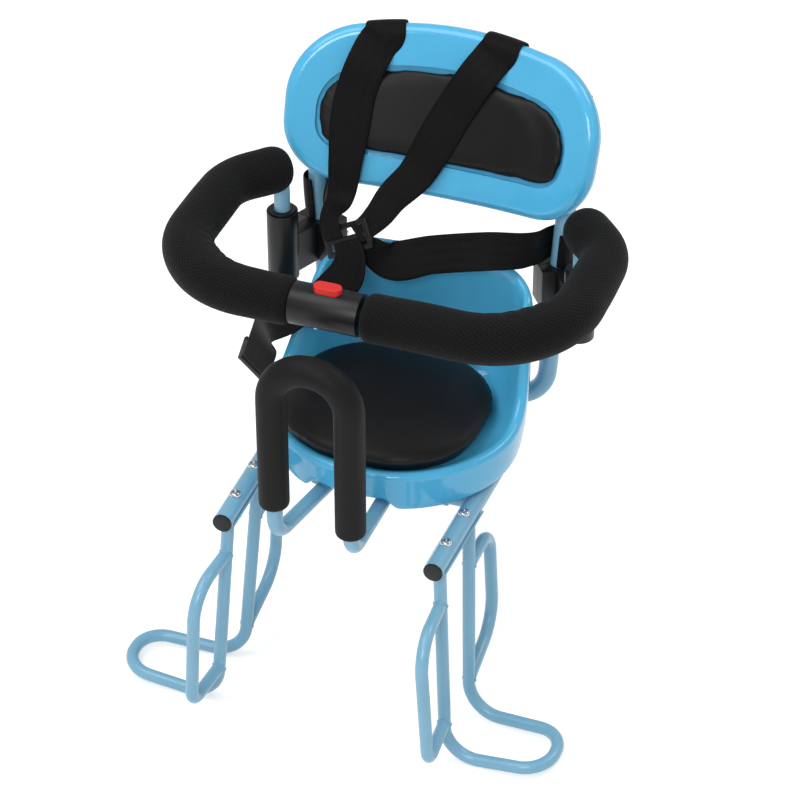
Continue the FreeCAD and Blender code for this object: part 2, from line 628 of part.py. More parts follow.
for side in SIDES.values():
    for index, y in enumerate((front_cross_y, rear_cross_y)):
        foot = Vector(side * val("boss_spacing") / 2, y, boss_low)
        boss = Part.makeCylinder(val("boss_dia") / 2, ceiling_z + seat_wall / 2 - boss_low, foot)
        seat_shape = seat_shape.fuse(boss)
        seat_shape = seat_shape.cut(drill(foot, Vector(0, 0, 1), seat_hole, val("seat_screw_bite")))
        head_seat = Vector(foot.x, y, rail_z - cross_radius)
        reach = "dims.cross_dia + dims.weld_gap + dims.seat_screw_bite - dims.screw_clearance"
        seat_screws.append(screw(f"seat_screw_{side + 1}_{index}", head_seat, Vector(0, 0, 1),
                                 "dims.seat_screw_dia", "dims.seat_screw_head", "dims.seat_screw_head_thick",
                                 reach))
node("seat_shell", feature("seat_shell", seat_shape.removeSplitter()))
node("seat_screws", group("seat_screws", seat_screws))


# Seat cushion: drawn in below the rim, widest just above it, with an elliptical crown
def cushion_outline(inset, z):
    half = val("cushion_width") / 2 - inset
    front = inset - val("cushion_front")
    back = val("cushion_back") - inset
    radius = val("cushion_radius") - inset
    return flat_outline([(-half, front, radius), (half, front, radius), (half, back, radius),
                         (-half, back, radius)], z)


tuck = val("cushion_front") - val("seat_front") + band + 2 * val("cushion_seat_gap")
crown = val("cushion_top_z") - val("cushion_edge_z")
crown_angles = [math.radians(angle) for angle in (0, 20, 40, 60, 75)]
cushion_sections = [cushion_outline(tuck, floor_z + val("cushion_seat_gap")),
                    cushion_outline(tuck, rim_z + val("cushion_seat_gap"))]
for angle in crown_angles:
    drawn_in = val("cushion_radius") * (1 - math.cos(angle))
    cushion_sections.append(cushion_outline(drawn_in, val("cushion_edge_z") + crown * math.sin(angle)))
cushion_shape = Part.makeLoft(cushion_sections, True, True)
cushion_shape.translate(seat_middle)
node("seat_cushion", feature("seat_cushion", cushion_shape))

# Backrest: an outline cut from a curved sheet, leaned back, with a recess for its pad
back_frame = Placement(back_centre, Rotation(Vector(1, 0, 0), back_up, back_front, "XYZ"))


def back_outline(inset, top_inset):
    """The backrest's outline in its own plane, drawn in by an inset, and by another at its top."""
    half = val("back_width") / 2 - inset
    low_half = val("back_low_width") / 2 - inset
    low = inset - val("back_low")
    low_radius = val("back_low_radius") - inset
    shoulder = val("back_shoulder") - top_inset
    shoulder_radius = val("back_shoulder_radius") - inset
    crown_radius = val("back_crown_radius") - top_inset
    return flat_outline([(-low_half, low, low_radius), (low_half, low, low_radius),
                         (half, shoulder, shoulder_radius), (0, val("back_crown") - top_inset, crown_radius),
                         (-half, shoulder, shoulder_radius)], -back_radius / 4)


def curved_sheet(outline, front_radius, rear_radius):
    """The part of a cylindrical wall that lies inside an outline."""
    height = 2 * val("back_width")
    base = Vector(0, -height / 2, back_radius)
    wall = Part.makeCylinder(rear_radius, height, base, Vector(0, 1, 0))
    wall = wall.cut(Part.makeCylinder(front_radius, height, base, Vector(0, 1, 0)))
    return wall.common(prism(outline, Vector(0, 0, back_radius / 2)))


def rim_edges(shape, radius):
    """Edges that lie all along a cylinder of the backrest's curve."""
    found = []
    for edge in shape.Edges:
        points = edge.discretize(5)
        off = [abs(math.hypot(point.x, point.z - back_radius) - radius) for point in points]
        if max(off) < val("weld_gap"):
            found.append(edge)
    return found


back_shape = curved_sheet(back_outline(0, 0), back_front_radius, back_rear_radius)
back_edges = rim_edges(back_shape, back_front_radius) + rim_edges(back_shape, back_rear_radius)
back_shape = back_shape.makeFillet(val("back_edge_radius"), back_edges)
recess_radius = back_front_radius + val("pad_recess")
recess_outline = back_outline(val("pad_margin"), val("pad_top_margin"))
recess = curved_sheet(recess_outline, back_front_radius - val("back_thick"), recess_radius)
back_shape = back_shape.cut(recess)
pad_front_radius = back_front_radius - val("pad_proud")
pad_outline = back_outline(val("pad_margin") + val("pad_clearance"),
                           val("pad_top_margin") + val("pad_clearance"))
pad_shape = curved_sheet(pad_outline, pad_front_radius, recess_radius - val("pad_clearance") / 2)
pad_shape = pad_shape.makeFillet(val("pad_edge_radius"), rim_edges(pad_shape, pad_front_radius))
back_shape.Placement = back_frame
pad_shape.Placement = back_frame
back_screws = []
for name, side in SIDES.items():
    for index, (start, direction) in enumerate(back_screw_axes(side)):
        depth = val("tube_dia") + val("weld_gap") + val("back_screw_bite")
        back_shape = back_shape.cut(drill(start, direction, back_hole, depth))
        reach = "dims.tube_dia + dims.weld_gap + dims.back_screw_bite - dims.screw_clearance"
        back_screws.append(screw(f"{name}_back_screw_{index}", start, direction, "dims.back_screw_dia",
                                 "dims.back_screw_head", "dims.back_screw_head_thick", reach))
node("backrest_shell", feature("backrest_shell", back_shape))
node("backrest_pad", feature("backrest_pad", pad_shape))
node("backrest_screws", group("backrest_screws", back_screws))


# Barrels: sockets for the arms' pins, each clamped round its upright
arm_radius = val("arm_dia") / 2
bush_radius = arm_radius + val("pin_clearance") + val("bush_wall")
clamp_mid_z = val("clamp_low_z") + val("clamp_height") / 2


def pin_axis(side, z):
    return Vector(val("guard_shift") + side * val("pin_gap") / 2, val("pin_y"), z)


def clamp_reach(side):
    """The level line from a pin's axis to its upright."""
    upright = upright_at(side, clamp_mid_z)
    return upright - pin_axis(side, upright.z)


def clamp_frame(side, z):
    """A clamp's own frame, whose X runs from the pin to the upright."""
    reach = clamp_reach(side)
    turn = math.degrees(math.atan2(reach.y, reach.x))
    return Placement(pin_axis(side, z), Rotation(Vector(0, 0, 1), turn))


def clamp_block(side, near, far, width):
    block = Part.makeBox(far - near, width, val("clamp_height"), Vector(near, -width / 2, 0))
    block.Placement = clamp_frame(side, val("clamp_low_z"))
    return block


def pin_bush(name, side):
    base = facing(pin_axis(side, val("barrel_top_z") - val("bush_length")), Vector(0, 0, 1))
    top = facing(pin_axis(side, val("barrel_top_z")), Vector(0, 0, 1))
    body = bound("Part::Cylinder", f"{name}_body", base, Height="dims.bush_length",
                 Radius="dims.arm_dia / 2 + dims.pin_clearance + dims.bush_wall")
    flange = bound("Part::Cylinder", f"{name}_flange", top, Height="dims.bush_flange",
                   Radius="dims.bush_flange_dia / 2")
    bore = bound("Part::Cylinder", f"{name}_bore", base, Height="dims.bush_length + dims.bush_flange",
                 Radius="dims.arm_dia / 2 + dims.pin_clearance")
    node(name, cut(name, fuse(f"{name}_outer", [body, flange]), bore))


clamp_bolts = []
for name, side in SIDES.items():
    distance = clamp_reach(side).Length
    split = val("clamp_split") / 2
    depth = val("clamp_depth")
    upright_cutter = rod(upright_corners(side)[:2], tube_radius + val("clamp_clearance"))
    barrel_height = val("barrel_top_z") - val("barrel_low_z")
    barrel = Part.makeCylinder(val("barrel_dia") / 2, barrel_height, pin_axis(side, val("barrel_low_z")))
    web = clamp_block(side, 0, distance - depth + split, val("web_thick"))
    half = clamp_block(side, distance - depth, distance - split, val("clamp_width"))
    cap = clamp_block(side, distance + split, distance + depth, val("clamp_width"))
    bore = Part.makeCylinder(bush_radius + val("cap_clearance"), barrel_height,
                             pin_axis(side, val("barrel_low_z") + val("barrel_floor")))
    barrel = barrel.fuse(web).fuse(half).cut(bore).cut(upright_cutter)
    cap = cap.cut(upright_cutter)
    frame = clamp_frame(side, clamp_mid_z)
    inward = clamp_reach(side).normalize() * -1
    for index in (-1, 1):
        seat = frame.multVec(Vector(distance + depth, index * val("clamp_bolt_spacing") / 2, 0))
        hole = drill(seat, inward, val("clamp_bolt_dia") / 2 + val("screw_clearance"),
                     depth + val("clamp_bolt_bite") + val("screw_clearance"))
        barrel = barrel.cut(hole)
        cap = cap.cut(hole)
        clamp_bolts.append(screw(f"{name}_clamp_bolt_{index + 1}", seat, inward, "dims.clamp_bolt_dia",
                                 "dims.clamp_bolt_head", "dims.clamp_bolt_head_thick",
                                 "dims.clamp_depth + dims.clamp_bolt_bite"))
    node(f"{name}_barrel", feature(f"{name}_barrel", barrel.removeSplitter()))
    node(f"{name}_clamp_cap", feature(f"{name}_clamp_cap", cap))
    pin_bush(f"{name}_pin_bush", side)
node("clamp_bolts", group("clamp_bolts", clamp_bolts))

# Guard arms and their foam sleeves
arm_z = val("arm_z")
buckle_left = val("buckle_x") - val("buckle_length") / 2
buckle_right = val("buckle_x") + val("buckle_length") / 2
ARM_ENDS = {"left": buckle_left + val("socket_depth"), "right": buckle_right + val("tongue_gap")}
SLEEVE_ENDS = {"left": buckle_left - val("sleeve_end_gap"), "right": buckle_right + val("sleeve_end_gap")}


def arm_corners(side, start_z, end_x):
    side_x = val("guard_shift") + side * val("arm_side_gap") / 2
    front_y = -val("arm_front_reach")
    return [(pin_axis(side, start_z), 0), (pin_axis(side, arm_z), val("arm_pin_radius")),
            (Vector(side_x, val("arm_elbow_y"), arm_z), val("arm_elbow_radius")),
            (Vector(side_x, front_y, arm_z), val("arm_corner_radius")), (Vector(end_x, front_y, arm_z), 0)]


for name, side in SIDES.items():
    pin_low = val("barrel_low_z") + val("barrel_floor") + val("pin_end_gap")
    arm_shape = tube(arm_corners(side, pin_low, ARM_ENDS[name]), arm_radius, val("arm_wall"))
    node(f"{name}_arm_tube", feature(f"{name}_arm_tube", arm_shape))
    covered = arm_corners(side, arm_z - val("sleeve_dia"), SLEEVE_ENDS[name])
    pin_top, elbow = covered[1][0], covered[2][0]
    start = pin_top + (pin_top - elbow).normalize() * val("sleeve_overrun")
    sleeve_shape = rod([(start, 0)] + covered[2:], val("sleeve_dia") / 2)
    rear_rim = [edge for edge in sleeve_shape.Edges if edge.Closed
                and edge.CenterOfMass.distanceToPoint(start) < val("sleeve_clearance")]
    sleeve_shape = sleeve_shape.makeFillet(val("sleeve_end_radius"), rear_rim)
    sleeve_shape = sleeve_shape.cut(rod(covered, arm_radius + val("sleeve_clearance")))
    node(f"{name}_arm_sleeve", feature(f"{name}_arm_sleeve", sleeve_shape))

# Buckle: two half shells on the left arm's end, with a mouth for the tongue
buckle_y = -val("arm_front_reach")
buckle_x = val("buckle_x")
buckle_radius = val("buckle_dia") / 2
inner_radius = buckle_radius - val("buckle_wall")
end_wall = val("buckle_end_wall")


def along_bar(start_x, end_x, radius):
    return Part.makeCylinder(radius, end_x - start_x, Vector(start_x, buckle_y, arm_z), Vector(1, 0, 0))


def upright_slot(length, width, low_z, high_z):
    """A round-ended bar standing at the button's place."""
    corners = [(buckle_x + sx * length / 2, buckle_y + sy * width / 2, width / 2)
               for sx, sy in ((-1, -1), (1, -1), (1, 1), (-1, 1))]
    return prism(flat_outline(corners, low_z), Vector(0, 0, high_z - low_z))


def half_space(sign):
    size = 2 * val("buckle_length")
    corner = Vector(buckle_x - size / 2, buckle_y - size / 2, arm_z if sign > 0 else arm_z - size)
    return Part.makeBox(size, size, size, corner)


barrel_shape = along_bar(buckle_left, buckle_right, buckle_radius)
socket_radius = arm_radius + val("socket_clearance")
buckle_shape = barrel_shape.cut(along_bar(buckle_left + end_wall, buckle_right - end_wall, inner_radius))
buckle_shape = buckle_shape.fuse(along_bar(buckle_left, buckle_left + val("socket_depth"),
                                           socket_radius + val("socket_wall")))
buckle_shape = buckle_shape.cut(along_bar(buckle_left, buckle_left + val("socket_depth"), socket_radius))
mouth_height = val("tongue_thick") + 2 * val("mouth_clearance")
mouth = Part.makeBox(2 * end_wall, val("mouth_width"), mouth_height,
                     Vector(buckle_right - 1.5 * end_wall, buckle_y - val("mouth_width") / 2,
                            arm_z - mouth_height / 2))
buckle_shape = buckle_shape.cut(mouth)
upper_shape = buckle_shape.common(half_space(1))
lower_shape = buckle_shape.common(half_space(-1))
opening = upright_slot(val("button_length") + 2 * val("button_clearance"),
                       val("button_width") + 2 * val("button_clearance"), arm_z, arm_z + val("buckle_dia"))
upper_shape = upper_shape.cut(opening)
buckle_screws = []
for side in SIDES.values():
    x = buckle_x - val("buckle_screw_offset")
    y = buckle_y + side * val("buckle_screw_spacing") / 2
    seat = Vector(x, y, arm_z - val("buckle_screw_sink"))
    up = Vector(0, 0, 1)
    boss_base = Vector(x, y, arm_z - buckle_radius)
    boss = Part.makeCylinder(val("buckle_boss_dia") / 2, val("buckle_dia"), boss_base).common(barrel_shape)
    shank_hole = drill(seat, up, val("buckle_screw_dia") / 2 + val("screw_clearance"),
                       val("buckle_screw_sink") + val("buckle_screw_bite") + val("screw_clearance"))
    head_hole = drill(seat, down, val("buckle_screw_head") / 2 + val("screw_clearance"), val("buckle_dia"))
    upper_shape = upper_shape.fuse(boss.common(half_space(1))).cut(shank_hole)
    lower_shape = lower_shape.fuse(boss.common(half_space(-1))).cut(shank_hole).cut(head_hole)
    buckle_screws.append(screw(f"buckle_screw_{side + 1}", seat, up, "dims.buckle_screw_dia",
                               "dims.buckle_screw_head", "dims.buckle_screw_head_thick",
                               "dims.buckle_screw_sink + dims.buckle_screw_bite"))
node("buckle_upper", feature("buckle_upper", upper_shape.removeSplitter()))
node("buckle_lower", feature("buckle_lower", lower_shape.removeSplitter()))
node("buckle_screws", group("buckle_screws", buckle_screws))

# Catch: a tongue on the right arm, and a sprung button that carries the latch plate under it
blade = bound("Part::Box", "tongue_blade", None, Height="dims.tongue_thick", Width="dims.tongue_width",
              Length="dims.tongue_depth + dims.tongue_gap + dims.tongue_plug / 2")
blade.Placement = Placement(Vector(buckle_right - val("tongue_depth"), buckle_y - val("tongue_width") / 2,
                                   arm_z - val("tongue_thick") / 2), Rotation())
plug_base = Vector(ARM_ENDS["right"], buckle_y, arm_z)
plug = bound("Part::Cylinder", "tongue_plug", facing(plug_base, Vector(1, 0, 0)),
             Radius="dims.arm_dia / 2 - dims.arm_wall - dims.cap_clearance", Height="dims.tongue_plug")
catch = bound("Part::Box", "tongue_catch", None, Height="2 * dims.tongue_thick", Width="dims.catch_width",
              Length="dims.catch_length")
catch_corner = Vector(buckle_right - val("tongue_depth") + val("tongue_thick"),
                      buckle_y - val("catch_width") / 2, arm_z - val("tongue_thick"))
catch.Placement = Placement(catch_corner, Rotation())
node("latch_tongue", cut("latch_tongue", fuse("tongue_body", [blade, plug]), catch))

latch_top_z = arm_z - val("tongue_thick") / 2 - val("latch_gap")
latch_plate = bound("Part::Box", "latch_plate", None, Height="dims.latch_thick", Width="dims.latch_width",
                    Length="dims.button_stem / 2 + dims.latch_reach")
latch_plate.Placement = Placement(Vector(buckle_x - val("button_stem") / 2, buckle_y - val("latch_width") / 2,
                                         latch_top_z - val("latch_thick")), Rotation())
node("latch_plate", latch_plate)

flange_width = val("button_width") + 2 * val("button_flange")
flange_length = val("button_length") + 2 * val("button_flange")
flange_rise = math.sqrt(inner_radius ** 2 - (flange_width / 2) ** 2) - val("button_clearance")
flange_low_z = arm_z + flange_rise - val("button_flange_thick")
button_top_z = arm_z + buckle_radius + val("button_proud")
button_shape = upright_slot(val("button_length"), val("button_width"), flange_low_z, button_top_z)
button_shape = button_shape.fuse(upright_slot(flange_length, flange_width, flange_low_z, arm_z + flange_rise))
stem = Part.makeCylinder(val("button_stem") / 2, flange_low_z - latch_top_z,
                         Vector(buckle_x, buckle_y, latch_top_z))
node("release_button", feature("release_button", button_shape.fuse(stem).removeSplitter()))

spring_radius = (val("spring_dia") - val("spring_wire")) / 2
spring_floor = math.sqrt(inner_radius ** 2 - (val("spring_dia") / 2) ** 2)
spring_low_z = arm_z - spring_floor + val("latch_gap")
spring_height = latch_top_z - val("latch_thick") - spring_low_z - val("spring_wire")
helix = Part.makeHelix(val("spring_pitch"), spring_height, spring_radius)
wire_circle = Part.makeCircle(val("spring_wire") / 2, Vector(spring_radius, 0, 0), Vector(0, 1, 0))
spring_shape = Part.Wire(helix.Edges).makePipeShell([Part.Wire(wire_circle)], True, True)
spring_shape.translate(Vector(buckle_x, buckle_y, spring_low_z + val("spring_wire") / 2))
node("latch_spring", feature("latch_spring", spring_shape))

# Harness: webbing ribbons, each a chain of flat stations with a face direction and a width
layer = val("web_layer")
web_gap = val("web_gap")
web_width = val("web_width")
end_width = val("web_end_width")


def smooth(stations, steps=4):
    """Stations filled in along a curve through the given ones."""
    filled = []
    last = len(stations) - 1
    for index in range(last):
        before, start = stations[max(index - 1, 0)], stations[index]
        stop, after = stations[index + 1], stations[min(index + 2, last)]
        for step in range(steps):
            share = step / steps
            ease = 3 * share ** 2 - 2 * share ** 3
            leave = (stop[0] - before[0]) * (0.5 * (share ** 3 - 2 * share ** 2 + share))
            arrive = (after[0] - start[0]) * (0.5 * (share ** 3 - share ** 2))
            point = start[0] * (1 - ease) + stop[0] * ease + leave + arrive
            filled.append((point, start[1] * (1 - share) + stop[1] * share,
                           start[2] * (1 - share) + stop[2] * share))
    return filled + [stations[last]]


def ribbon(stations):
    """Flat webbing through stations of point, face direction and width."""
    sections = []
    last = len(stations) - 1
    for index, (point, face, width) in enumerate(stations):
        along = stations[min(index + 1, last)][0] - stations[max(index - 1, 0)][0]
        across = along.cross(face).normalize()
        rise = across.cross(along).normalize() * (layer / 2)
        across = across * (width / 2)
        corners = [point + across + rise, point - across + rise, point - across - rise, point + across - rise]
        sections.append(Part.makePolygon(corners + corners[:1]))
    return Part.makeLoft(sections, True, True)


def back_station(across, up, out, width):
    """A station that lies along the backrest, at a distance in front of its middle surface."""
    angle = math.asin(across / back_radius)
    face = Vector(-math.sin(angle), 0, 0) + back_front * math.cos(angle)
    point = back_centre + Vector(across, 0, 0) + back_up * up
    point = point + back_front * (back_radius * (1 - math.cos(angle))) + face * out
    return (point, face, width)


def over_the_top(across):
    """Stations of a shoulder strap from behind the backrest, over its rounded top edge."""
    edge = val("back_edge_radius")
    turn = math.atan2(val("back_crown") - val("back_shoulder"), val("back_width") / 2)
    crown_middle = val("back_crown") - val("back_crown_radius") / math.cos(turn)
    slope = math.asin(across / val("back_crown_radius"))
    centre_up = crown_middle + val("back_crown_radius") * math.cos(slope) - edge
    flat = val("back_thick") / 2 - edge
    rise = back_up * math.cos(slope) + Vector(math.sin(slope), 0, 0)
    wrap = edge + 1.5 * web_gap + layer / 2
    behind, face, width = back_station(across, centre_up - val("strap_tail"), -flat - wrap, web_width)
    stations = [(behind, face * -1, width)]
    for out, angles in ((-flat, (180, 165, 150, 135, 120, 105, 90)), (flat, (90, 75, 60, 45, 30, 15, 0))):
        middle, face, width = back_station(across, centre_up, out, web_width)
        for angle in angles:
            face_out = rise * math.sin(math.radians(angle)) + face * math.cos(math.radians(angle))
            stations.append((middle + face_out * wrap, face_out, width))
    return stations


shell_out = val("back_thick") / 2 + web_gap + layer / 2
pad_out = shell_out + val("pad_proud") + layer / 4
pad_top = val("back_shoulder") - val("pad_top_margin")
adjuster_centre = Vector(val("adjuster_x"), val("adjuster_y"), val("adjuster_z"))
tilt = math.radians(val("adjuster_tilt"))
face_lean = math.radians(val("adjuster_face"))
adjuster_along = Vector(math.cos(tilt), 0, math.sin(tilt))
adjuster_face = Vector(-math.sin(tilt), 0, math.cos(tilt)) * math.sin(face_lean)
adjuster_face = adjuster_face - Vector(0, math.cos(face_lean), 0)
adjuster_up = adjuster_face.cross(adjuster_along)
strap_offset = val("adjuster_thick") / 2 + web_gap + layer / 2


def on_adjuster(along, up, front, width):
    """A station on the front (1) or rear (-1) face of the harness adjuster."""
    point = adjuster_centre + adjuster_along * along + adjuster_up * up
    return (point + adjuster_face * (front * strap_offset), adjuster_face * front, width)


half_bar = val("adjuster_width") / 2
quarter = val("adjuster_length") / 4
left_path = [back_station(-79, pad_top + 32, shell_out, web_width),
             back_station(-84, pad_top + 19, pad_out, web_width),
             back_station(-93, 10, pad_out, web_width), back_station(-95, -25, pad_out, web_width),
             back_station(-95, -58, pad_out, 34), (Vector(-91, 112, 213), back_front, 28),
             on_adjuster(-quarter, half_bar + 3 * layer, 1, end_width),
             on_adjuster(-quarter, layer, 1, end_width)]
left_strap = over_the_top(val("left_strap_x")) + smooth(left_path)
node("left_shoulder_strap", feature("left_shoulder_strap", ribbon(left_strap)))
right_path = [back_station(40, pad_top + 38, shell_out, web_width),
              back_station(33, pad_top + 25, pad_out, web_width),
              back_station(8, 5, pad_out, web_width), back_station(-7, -28, pad_out, web_width),
              back_station(-23, -62, pad_out, 36), (Vector(-44, 113, 225), back_front, 28),
              on_adjuster(1.25 * quarter, half_bar + 7 * layer, 1.2, end_width),
              on_adjuster(quarter, half_bar + layer, 1.6, end_width),
              on_adjuster(quarter, layer, 1.2, end_width)]
right_strap = over_the_top(val("right_strap_x")) + smooth(right_path)
node("right_shoulder_strap", feature("right_shoulder_strap", ribbon(right_strap)))


def upright_wrap(side, z, angles, width, slack):
    """Stations of a loop round an upright at a height, square to its lean and drawn against its back."""
    turn = Rotation(Vector(0, 0, 1), upright_at(side, z + 1) - upright_at(side, z))
    wrap = tube_radius + web_gap + layer / 2 + slack
    middle = upright_at(side, z) - turn.multVec(Vector(0, web_gap + slack - val("web_touch"), 0))
    stations = []
    for angle in angles:
        level = Vector(math.cos(math.radians(angle)), math.sin(math.radians(angle)), 0)
        face = turn.multVec(level)
        stations.append((middle + face * wrap, face, width))
    return stations


belt_width = val("web_belt_width")
right_wrap = upright_wrap(1, val("wrap_z"), range(-90, 166, 15), belt_width, val("wrap_slack_right"))
belt_path = [(Vector(101, 113, 196), Vector(-0.3, 0.95, -0.15), belt_width),
             (Vector(68, 97, 197), Vector(0.2, 0.9, -0.4), belt_width),
             (Vector(12, 91, 184), Vector(0.1, 0.88, -0.45), belt_width),
             (Vector(-30, 82, 174), Vector(0.2, 0.88, -0.4), belt_width),
             on_adjuster(quarter, -half_bar * 0.8, -1, 26), on_adjuster(0, -half_bar / 2, -1, end_width)]
node("waist_belt", feature("waist_belt", ribbon(right_wrap + smooth(belt_path))))
left_wrap = upright_wrap(-1, val("wrap_z"), range(-90, -346, -15), belt_width, val("wrap_slack_left"))
wrap_path = [(Vector(-106, 112, 186), Vector(0.98, 0.18, 0), 34),
             (Vector(-98, 96, 184), Vector(0.7, 0.7, -0.1), 28),
             on_adjuster(-1.6 * quarter, half_bar * 0.6, -1.6, 24),
             on_adjuster(-0.7 * quarter, half_bar * 0.4, -1.2, end_width)]
node("left_belt_wrap", feature("left_belt_wrap", ribbon(left_wrap + smooth(wrap_path))))

tail_face = Vector(-0.42, -0.9, 0.1).normalize()
tail_along = Vector(0.92, -0.25, -0.3)
tail_along = (tail_along - tail_face * tail_along.dot(tail_face)).normalize()
tail_up = tail_face.cross(tail_along)
seat_side = seat_middle.x - val("seat_width") / 2
tail_end = Vector(seat_side - val("tail_out"), val("tail_y"), val("tail_z"))
tail_path = [on_adjuster(0, -layer, 1, 30), on_adjuster(0, -half_bar - layer, 1, 34),
             (Vector(-66, 62, 160), Vector(-0.2, -0.9, 0.3), web_width),
             (Vector(-88, 47, 139), Vector(-0.4, -0.6, 0.7), web_width),
             (Vector(seat_side + 15, 28, 128), Vector(-0.55, -0.5, 0.7), web_width),
             (Vector(seat_side - 17, 28, 108), Vector(-0.5, -0.7, 0.5), web_width),
             (tail_end + tail_up * web_width * 0.8, tail_face, web_width),
             (tail_end + tail_up * web_width * 0.4, tail_face, web_width),
             (tail_end - tail_up * 2 * layer, tail_face, web_width)]
node("tail_strap", feature("tail_strap", ribbon(smooth(tail_path))))


def slide_adjuster(name, frame):
    """A flat slide with two slots beside a middle bar."""
    plate = bound("Part::Box", f"{name}_plate", None, Length="dims.adjuster_length",
                  Width="dims.adjuster_width", Height="dims.adjuster_thick")
    half = Vector(val("adjuster_length") / 2, val("adjuster_width") / 2, val("adjuster_thick") / 2)
    plate.Placement = frame.multiply(Placement(half * -1, Rotation()))
    body = plate
    for index, low in enumerate((-val("adjuster_slot") - val("adjuster_bar") / 2, val("adjuster_bar") / 2)):
        slot = bound("Part::Box", f"{name}_slot_{index}", None, Height="2 * dims.adjuster_thick",
                     Width="dims.adjuster_slot", Length="dims.adjuster_length - 2 * dims.adjuster_bar")
        corner = Vector(val("adjuster_bar") - half.x, low, -val("adjuster_thick"))
        slot.Placement = frame.multiply(Placement(corner, Rotation()))
        body = cut(f"{name}_slotted_{index}", body, slot)
    node(name, body)


harness_turn = Rotation(adjuster_along, adjuster_up, adjuster_face, "XYZ")
slide_adjuster("harness_adjuster", Placement(adjuster_centre, harness_turn))
tail_turn = Rotation(tail_along, tail_up, tail_face, "XYZ")
slide_adjuster("tail_adjuster", Placement(tail_end - tail_face * strap_offset, tail_turn))

# Check every object and write the pieces
doc.recompute()
for obj in doc.Objects:
    if "Invalid" in obj.State or "Error" in obj.State:
        raise RuntimeError(f"{obj.Name} did not build: {obj.State}")
for name, obj in nodes.items():
    if obj.Shape.isNull() or not obj.Shape.isValid():
        raise RuntimeError(f"{name} has no valid shape")
os.makedirs("parts", exist_ok=True)
for name, obj in nodes.items():
    obj.Shape.exportStep(f"parts/{name}.step")
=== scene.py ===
"""Child bike seat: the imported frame, dressed with its finishes, soft goods and fittings. Metres."""
import math

import bpy
from mathutils import Matrix, Vector, noise


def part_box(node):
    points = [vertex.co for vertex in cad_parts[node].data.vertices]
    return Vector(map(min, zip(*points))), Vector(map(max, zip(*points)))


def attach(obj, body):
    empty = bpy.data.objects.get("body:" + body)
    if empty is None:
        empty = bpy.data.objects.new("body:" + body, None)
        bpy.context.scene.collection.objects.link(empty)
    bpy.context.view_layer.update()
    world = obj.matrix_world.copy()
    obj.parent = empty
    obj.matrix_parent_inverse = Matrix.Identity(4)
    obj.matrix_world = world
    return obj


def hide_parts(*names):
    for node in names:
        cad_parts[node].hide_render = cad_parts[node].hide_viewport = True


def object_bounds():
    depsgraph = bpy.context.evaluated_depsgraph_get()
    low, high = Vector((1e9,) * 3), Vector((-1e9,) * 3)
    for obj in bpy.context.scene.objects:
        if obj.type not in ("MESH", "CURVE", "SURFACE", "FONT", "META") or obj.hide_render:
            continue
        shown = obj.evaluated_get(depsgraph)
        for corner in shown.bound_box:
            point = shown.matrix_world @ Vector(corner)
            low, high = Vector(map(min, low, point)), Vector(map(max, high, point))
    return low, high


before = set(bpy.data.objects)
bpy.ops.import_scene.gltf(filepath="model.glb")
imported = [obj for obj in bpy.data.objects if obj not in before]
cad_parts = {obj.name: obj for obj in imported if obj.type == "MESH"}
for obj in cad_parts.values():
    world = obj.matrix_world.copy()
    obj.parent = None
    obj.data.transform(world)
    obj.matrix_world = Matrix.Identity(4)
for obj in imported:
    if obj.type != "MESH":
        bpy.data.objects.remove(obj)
cad_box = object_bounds()
bpy.ops.object.select_all(action="DESELECT")

# Studio: a plain white floor that keeps a faint shadow, a white sky and three large soft panels.
# The camera stands where the photograph was taken from, high in front and to the right, with a long lens.
scene = bpy.context.scene
scene.view_settings.view_transform = "Standard"


def linear(hex_colour):
    """The linear colour of an sRGB hex value."""
    channels = [int(hex_colour[at:at + 2], 16) / 255 for at in (1, 3, 5)]
    return [c / 12.92 if c <= 0.04045 else ((c + 0.055) / 1.055) ** 2.4 for c in channels] + [1.0]


def add_node(owner, kind, inputs=None, **settings):
    """Adds a node to a material or the world. An input is a plain value or another node's output."""
    made = owner.node_tree.nodes.new(kind)
    for name, value in settings.items():
        setattr(made, name, value)
    for name, value in (inputs or {}).items():
        if isinstance(value, bpy.types.NodeSocket):
            owner.node_tree.links.new(value, made.inputs[name])
        else:
            made.inputs[name].default_value = value
    return made


SKY_LIGHT = 0.52
SKY_SEEN = 1.0
sky = bpy.data.worlds.new("white_sky")
scene.world = sky
sky.use_nodes = True
sky.node_tree.nodes.clear()
sky_ray = add_node(sky, "ShaderNodeLightPath")
sky_shown = add_node(sky, "ShaderNodeMath", {0: sky_ray.outputs["Is Camera Ray"], 1: SKY_SEEN - SKY_LIGHT,
                                             2: SKY_LIGHT}, operation="MULTIPLY_ADD")
sky_light = add_node(sky, "ShaderNodeBackground", {"Color": linear("#FFFFFF"),
                                                   "Strength": sky_shown.outputs[0]})
add_node(sky, "ShaderNodeOutputWorld", {"Surface": sky_light.outputs[0]})

